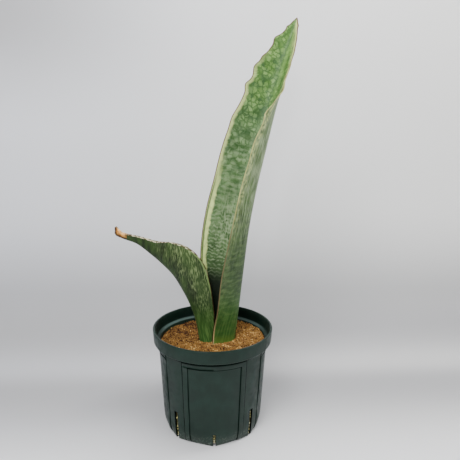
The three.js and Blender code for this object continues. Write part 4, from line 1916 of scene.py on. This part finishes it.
@dataclass(frozen=True)
class ShortLeafFinish:
    """Dark green with fine pale streaks along the leaf, a brown margin and a dry tan tip."""

    deep: Colour = seen(23, 38, 12)
    green: Colour = seen(44, 66, 26)
    pale: Colour = seen(132, 150, 98)
    dry: Colour = seen(70, 44, 26)
    cream: Colour = seen(224, 214, 180)
    tan: Colour = seen(176, 96, 30)
    glow: Colour = seen(250, 190, 100)
    bleached_and_highlight: Colour = seen(255, 206, 138)
    brown: Colour = seen(54, 32, 12)
    base: Colour = seen(58, 100, 46)
    base_light: Colour = seen(96, 136, 72)
    channel: Colour = seen(120, 146, 84)
    roughness: float = 0.46
    specular: float = 0.22
    relief_depth: float = 0.2
    relief_strength: float = 0.5
    fan_start: float = 0.05
    fan_strength: float = 5.0

    ground: Coat = Coat(green, masks=(Spots(14.0, 30.0, 0.36, 0.62, 0.3, 5.0),))
    channel_light: Coat = Coat(channel, masks=(Ease(0.4, 0.6, 0.0, 0.7),))
    coarse: Spots = Spots(1.1, 5.0, 0.5, 0.62, 1.0, 3.0)
    fine: Spots = Spots(0.8, 5.0, 0.5, 0.66, 0.8, 8.0)
    coarse_in_relief: float = 0.6
    spread: tuple[Mask, ...] = (
        Ease(0.005, 0.026, 0.1, 1.0, Over.KEEL), Ease(0.08, 0.25), Ease(0.62, 0.78, 1.0, 0.2),
        Spots(9.0, 22.0, 0.38, 0.6, 0.4, 44.0, least=0.3),
    )
    coats: tuple[Coat, ...] = (
        Coat(pale, 0.65, (coarse, *spread)),
        Coat(pale, 0.5, (fine, *spread)),
        Coat(
            Flecked(base, base_light, (Spots(1.6, 20.0, 0.42, 0.65, 0.2, 22.0),)),
            masks=(Ease(0.1, 0.36, 0.85, 0.0),),
        ),
        Coat(channel, 0.7, (Band(0.8, 2.2, 0.7), Span((0.3, 0.36), (0.5, 0.56)))),
        Coat(
            Flecked(dry, cream, (Spots(3.0, 8.0, 0.45, 0.6, 0.0, 15.0), Span((0.3, 0.6), (0.84, 0.88)))),
            masks=(Band(-1.0, 0.6, 0.5),),
        ),
    )
    # The tip's golden spots and pale edge are partly its dry colour and partly painted highlights on its
    # wrinkles and top edge.
    tip_skin: tuple[Coat, ...] = (
        Coat(glow, masks=(Spots(1.6, 2.4, 0.35, 0.65, 0.8, 27.0),)),
        Coat(bleached_and_highlight, 0.7, (Band(-1.0, 0.6, 1.2),)),
        Coat(brown, masks=(Ease(0.0026, 0.0056, 0.95, 0.0, Over.KEEL),)),
    )
    tip_waves: Spots = Spots(3.0, 5.0, 0.2, 0.8, 0.0, 21.0)
    tip_wave_height: float = 0.03
    browning: Ease = Ease(0.85, 0.872, 0.0, 0.7)
    drying: Ease = Ease(0.862, 0.884)

    def build(self, face: Face) -> Material:
        """Builds the finish of one face.

        Args:
            face: Which face of the leaf.

        Returns:
            The material.
        """
        material, _, shader = new_material(f"short_leaf_{face.value}", self.roughness, self.specular)
        desk = LeafDesk(material.node_tree)
        desk.fan_out(self.fan_start, self.fan_strength)
        ground = (self.ground, self.channel_light) if face is Face.INSIDE else (self.ground,)
        colour = desk.lay(self.deep, (*ground, *self.coats))
        desk.put(shader.inputs["Base Color"], self.dry_tip(desk, colour))
        coarse = desk.times(self.coarse.place(desk), self.coarse_in_relief)
        height = desk.math("ADD", coarse, self.fine.place(desk))
        add_relief(desk, shader, height, self.relief_depth * MM, self.relief_strength)
        return material

    def dry_tip(self, desk: LeafDesk, colour: Socket) -> Socket:
        """Adds the dry tip, dark brown where it starts and tan at its end, with pale wrinkles and edges that
        are partly painted highlights.

        Args:
            desk: The desk of the finish.
            colour: The colour below.

        Returns:
            The colour.
        """
        wave = desk.math("SUBTRACT", self.tip_waves.place(desk), 0.5)
        place = desk.math("ADD", desk.share, desk.times(wave, self.tip_wave_height))
        colour = desk.blend(self.browning.of(desk, place), colour, self.brown)
        return desk.blend(self.drying.of(desk, place), colour, desk.lay(self.tan, self.tip_skin))


@dataclass
class Rhizome:
    """The creeping stem below the soil that both leaves stand on, with its thick roots. In millimetres."""

    fillings: Fillings
    foot_z: float = 48.3
    top_z: float = 71.7
    clearance: float = 1.0
    root_radius: float = 1.6
    root_count: int = 6
    first_root: float = 20.0
    root_start_z: float = 57.0
    root_end_z: float = 45.0
    outline: tuple[tuple[float, float], ...] = (
        (0.5, 0), (0.72, 0.06), (0.84, 0.16), (0.93, 0.28), (0.95, 0.4), (0.9, 0.5), (0.93, 0.56),
        (0.96, 0.66), (0.93, 0.76), (0.92, 0.82), (0.96, 0.92), (0.94, 1.0),
    )

    def build(self, finish: Material) -> Thing:
        """Builds the rhizome and its roots as one grown piece.

        Args:
            finish: Its finish.

        Returns:
            The piece.
        """
        height = self.top_z - self.foot_z
        profile = [(0, self.foot_z), *((reach, self.foot_z + rise * height) for reach, rise in self.outline)]
        shape = spin_profile([*profile, (0.5, self.top_z), (0, self.top_z)], 72)
        centre = self.fillings.hole_centre
        semi = [axis - self.clearance for axis in self.fillings.hole_semi_axes]
        for vert in shape.verts:
            rough = 1 - 0.02 * (1 + noise.noise(Vector((vert.co.x * 3, vert.co.y * 3, vert.co.z / 4))))
            vert.co.x = centre[0] + vert.co.x * semi[0] * rough
            vert.co.y = centre[1] + vert.co.y * semi[1] * rough
        for index in range(self.root_count):
            self.add_root(shape, index)
        for vert in shape.verts:
            vert.co *= MM
        bmesh.ops.recalc_face_normals(shape, faces=shape.faces)
        piece = to_piece("rhizome_with_roots", shape, (finish,))
        smooth_shade(piece, 50)
        hand_over(piece, "rhizome", "rhizome")
        return piece

    def add_root(self, shape: bmesh.types.BMesh, index: int) -> None:
        """Adds one root, which leaves the stem level and dips to its tip.

        Args:
            shape: The stem's shape.
            index: The root's number.
        """
        turn = math.radians(self.first_root + 360 * index / self.root_count)
        outward = Vector((math.cos(turn), math.sin(turn), 0))
        centre = Vector((*self.fillings.hole_centre, 0))
        start = centre + outward * 6 + Vector((0, 0, self.root_start_z))
        bend = centre + outward * (26 + 3 * (index % 2)) + Vector((0, 0, self.root_start_z + 1))
        end = centre + outward * (38 + 5 * (index % 3)) + Vector((0, 0, self.root_end_z))
        steps = 28
        made = bmesh.ops.create_circle(shape, cap_ends=True, segments=12, radius=1.0)["verts"]
        ring = [edge for edge in {edge for vert in made for edge in vert.link_edges}]
        flat = [vert.co.copy() for vert in made]
        side = Vector((0, 0, 1)).cross(outward)
        for step in range(steps + 1):
            t = step / steps
            middle = start * (1 - t) ** 2 + bend * 2 * t * (1 - t) + end * t * t
            along = ((bend - start) * (1 - t) + (end - bend) * t).normalized()
            up = along.cross(side)
            radius = self.root_radius * (1 - 0.15 * t) * math.sqrt(1 - t ** 12 * 0.96)
            for vert, place in zip(made, flat):
                vert.co = middle + (side * place.x + up * place.y) * radius
            if step < steps:
                grown = bmesh.ops.extrude_edge_only(shape, edges=ring)["geom"]
                made = [item for item in grown if isinstance(item, bmesh.types.BMVert)]
                ring = [item for item in grown if isinstance(item, bmesh.types.BMEdge)]
        bmesh.ops.contextual_create(shape, geom=ring)


@dataclass(frozen=True)
class Rootstock:
    """Orange-brown bark with fine rings and pale root skin."""

    bark: Colour = seen(166, 112, 62)
    ring: Colour = seen(110, 68, 38)

    def build(self) -> Material:
        """Builds the material.

        Returns:
            The material.
        """
        material, desk, shader = new_material("rootstock", 0.7, 0.3)
        place = desk.object_place()
        grit = desk.group(Effect.GRIT.tree(), Place=place, Size=1.2 * MM)
        rings = desk.add("ShaderNodeTexWave", bands_direction="Z")
        desk.put(rings.inputs["Vector"], place)
        desk.put(rings.inputs["Scale"], 90.0)
        desk.put(rings.inputs["Distortion"], 2.0)
        share = desk.math("MULTIPLY", rings.outputs["Fac"], grit.outputs["Tone"])
        desk.put(shader.inputs["Base Color"], desk.blend(share, self.bark, self.ring))
        add_relief(desk, shader, grit.outputs["Height"], 0.3 * MM, 0.6)
        return material


@dataclass(frozen=True)
class Lamp:
    """A soft rectangular lamp, in metres, that points at the middle of the plant."""

    name: str
    place: tuple[float, float, float]
    size: tuple[float, float]
    power: float
    target: tuple[float, float, float] = (0.0, 0.0, 0.2)

    def build(self) -> None:
        """Adds the lamp to the scene."""
        light = bpy.data.lights.new(self.name, "AREA")
        light.shape = "RECTANGLE"
        light.size, light.size_y = self.size
        light.energy = self.power
        lamp = bpy.data.objects.new(self.name, light)
        lamp.location = self.place
        lamp.rotation_euler = (Vector(self.target) - Vector(self.place)).to_track_quat("-Z", "Y").to_euler()
        bpy.context.scene.collection.objects.link(lamp)


@dataclass
class Studio:
    """A pale sweep with painted light and shade, soft lamps and the camera at the photograph's angle."""

    camera_place: tuple[float, float, float] = (-16.18, -507.33, 342.94)
    heading: float = -4.15
    pitch: float = 10.544
    roll: float = 0.553
    focal_share: float = 425 / 460
    sensor: float = 36.0
    sweep_width: float = 6.0
    sweep_front: float = -2.2
    sweep_bend: float = 0.12
    sweep_radius: float = 0.10
    sweep_height: float = 2.6
    # The wall's colour is painted light: darker on the left, lighter on the right.
    left_wall_shaded: Colour = seen(228, 230, 236)
    right_wall_lit: Colour = seen(250, 250, 248)
    floor_paint: Colour = seen(248, 248, 250)
    shade: Colour = seen(178, 178, 180)
    rightward: Ease = Ease(-0.45, 0.45)
    wall_start: Ease = Ease(-0.1, 0.05)
    corner_height: Ease = Ease(0.36, 0.56)
    corner_side: Ease = Ease(-0.36, 0.05, 1.0, 0.0)
    corner_strength: float = 0.95
    low: Ease = Ease(0.0, 0.26, 1.0, 0.0)
    back: Ease = Ease(-0.12, 0.06)
    lit_fold: Span = Span((0.07, 0.13), (0.135, 0.2))
    lit_fold_strength: float = 0.4
    world_colour: Colour = (0.78, 0.8, 0.84, 1.0)
    world_strength: float = 0.16
    lamps: tuple[Lamp, ...] = (
        Lamp("key", (-0.3, -0.62, 1.05), (0.45, 0.45), 11.0),
        Lamp("left_front", (-1.1, -0.9, 0.9), (0.8, 0.8), 2.5),
        Lamp("right_front", (1.1, -0.8, 0.7), (0.8, 0.8), 4.4),
        Lamp("front", (-0.14, -0.95, 0.6), (0.14, 0.14), 2.1),
        Lamp("wall_wash", (0.52, 0.02, 1.1), (1.2, 0.16), 8.0, (0.46, 0.25, 0.4)),
    )

    def build(self) -> None:
        """Sets up the sweep, the world, the lamps and the camera."""
        self.build_sweep()
        world = bpy.data.worlds.new("studio")
        world.use_nodes = True
        background = world.node_tree.nodes["Background"]
        background.inputs["Color"].default_value = self.world_colour
        background.inputs["Strength"].default_value = self.world_strength
        bpy.context.scene.world = world
        for lamp in self.lamps:
            lamp.build()
        self.build_camera()

    def build_sweep(self) -> None:
        """Builds the floor, which bends up into the back wall, with painted light and shade."""
        shape = bmesh.new()
        flat = self.sweep_bend - self.sweep_front
        arc = self.sweep_radius * math.pi / 2
        length = flat + arc + self.sweep_height
        bmesh.ops.create_grid(shape, x_segments=1, y_segments=400, size=1.0)
        for vert in shape.verts:
            run = (vert.co.y + 1) / 2 * length
            turn = min(max(run - flat, 0.0), arc) / self.sweep_radius
            y = self.sweep_front + min(run, flat) + self.sweep_radius * math.sin(turn)
            z = self.sweep_radius * (1 - math.cos(turn)) + max(run - flat - arc, 0.0)
            vert.co = (vert.co.x * self.sweep_width / 2, y, z)
        material, desk, shader = new_material("pale_sweep", 0.85, 0.2)
        axes = desk.add("ShaderNodeSeparateXYZ")
        desk.put(axes.inputs[0], desk.object_place())
        x, y, z = axes.outputs
        wall = desk.blend(self.rightward.of(desk, x), self.left_wall_shaded, self.right_wall_lit)
        paint = desk.blend(self.wall_start.of(desk, y), self.floor_paint, wall)
        # Painted shade in the wall's top left corner.
        corner = desk.times(self.corner_height.of(desk, z), self.corner_side.of(desk, x))
        paint = desk.blend(desk.times(corner, self.corner_strength), paint, self.shade)
        # Painted shade where the floor meets the wall, lifted along a lighter band at the bend as painted
        # light.
        low = self.low.of(desk, z)
        back = self.back.of(desk, y)
        lit = desk.math("SUBTRACT", 1.0, desk.times(self.lit_fold.of(desk, y), self.lit_fold_strength))
        desk.put(shader.inputs["Base Color"], desk.blend(desk.times(low, back, lit), paint, self.shade))
        self.open_back(desk, shader)
        sweep = to_piece("sweep", shape, (material,))
        sweep.data.shade_smooth()

    def open_back(self, desk: NodeDesk, shader: bpy.types.Node) -> None:
        """Lets the sweep be seen through from behind, so that the plant can be looked at from there.

        Args:
            desk: The sweep's desk.
            shader: The sweep's surface.
        """
        surface = shader.outputs[0].links[0].to_socket
        geometry = desk.add("ShaderNodeNewGeometry")
        mix = desk.add("ShaderNodeMixShader")
        desk.put(mix.inputs[0], geometry.outputs["Backfacing"])
        desk.put(mix.inputs[1], shader.outputs[0])
        desk.put(mix.inputs[2], desk.add("ShaderNodeBsdfTransparent").outputs[0])
        desk.put(surface, mix.outputs[0])

    def build_camera(self) -> None:
        """Places the camera where the photograph was taken."""
        data = bpy.data.cameras.new("camera")
        data.sensor_width = self.sensor
        data.lens = self.focal_share * self.sensor
        data.clip_start = 0.01
        camera = bpy.data.objects.new("camera", data)
        turn = Matrix.Rotation(math.radians(self.heading), 4, "Z")
        turn @= Matrix.Rotation(math.radians(90 - self.pitch), 4, "X")
        turn @= Matrix.Rotation(math.radians(self.roll), 4, "Z")
        camera.matrix_world = Matrix.Translation(Vector(self.camera_place) * MM) @ turn
        bpy.context.scene.collection.objects.link(camera)
        bpy.context.scene.camera = camera


def plant_surface(leaves: Sequence[Thing]) -> BVHTree:
    """Gathers the leaves' faces for distance tests.

    Args:
        leaves: The leaves.

    Returns:
        A tree that finds the nearest face.
    """
    shape = bmesh.new()
    for leaf in leaves:
        shape.from_mesh(leaf.data)
    tree = BVHTree.FromBMesh(shape)
    shape.free()
    return tree


def main() -> None:
    """Builds the studio and the plant, piece by piece."""
    logging.basicConfig(level=logging.INFO, format="%(relativeCreated)d %(message)s")
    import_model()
    Studio().build()
    pot = NurseryPot()
    pot.build(MouldedPlastic(pot).build())
    tall_finish = TallLeafFinish()
    short_finish = ShortLeafFinish()
    tall = TALL_LEAF.build(tall_finish.build(Face.OUTSIDE), tall_finish.build(Face.INSIDE))
    short = SHORT_LEAF.build(short_finish.build(Face.OUTSIDE), short_finish.build(Face.INSIDE))
    fillings = Fillings(pot)
    soil = Grit("soil_grit", seen(56, 32, 16), seen(140, 100, 48), seen(210, 172, 104), 0.8 * MM)
    pumice = Grit("pumice", seen(96, 92, 58), seen(190, 182, 120), seen(232, 228, 190), 0.7 * MM)
    soil_finish = soil.build()
    pumice_finish = pumice.build()
    fillings.soil_bed(soil_finish)
    fillings.soil_grains(soil_finish, plant_surface((tall, short)))
    fillings.drainage_bed(pumice_finish)
    fillings.slit_pumice(pumice_finish)
    Rhizome(fillings).build(Rootstock().build())


if __name__ == "__main__":
    main()
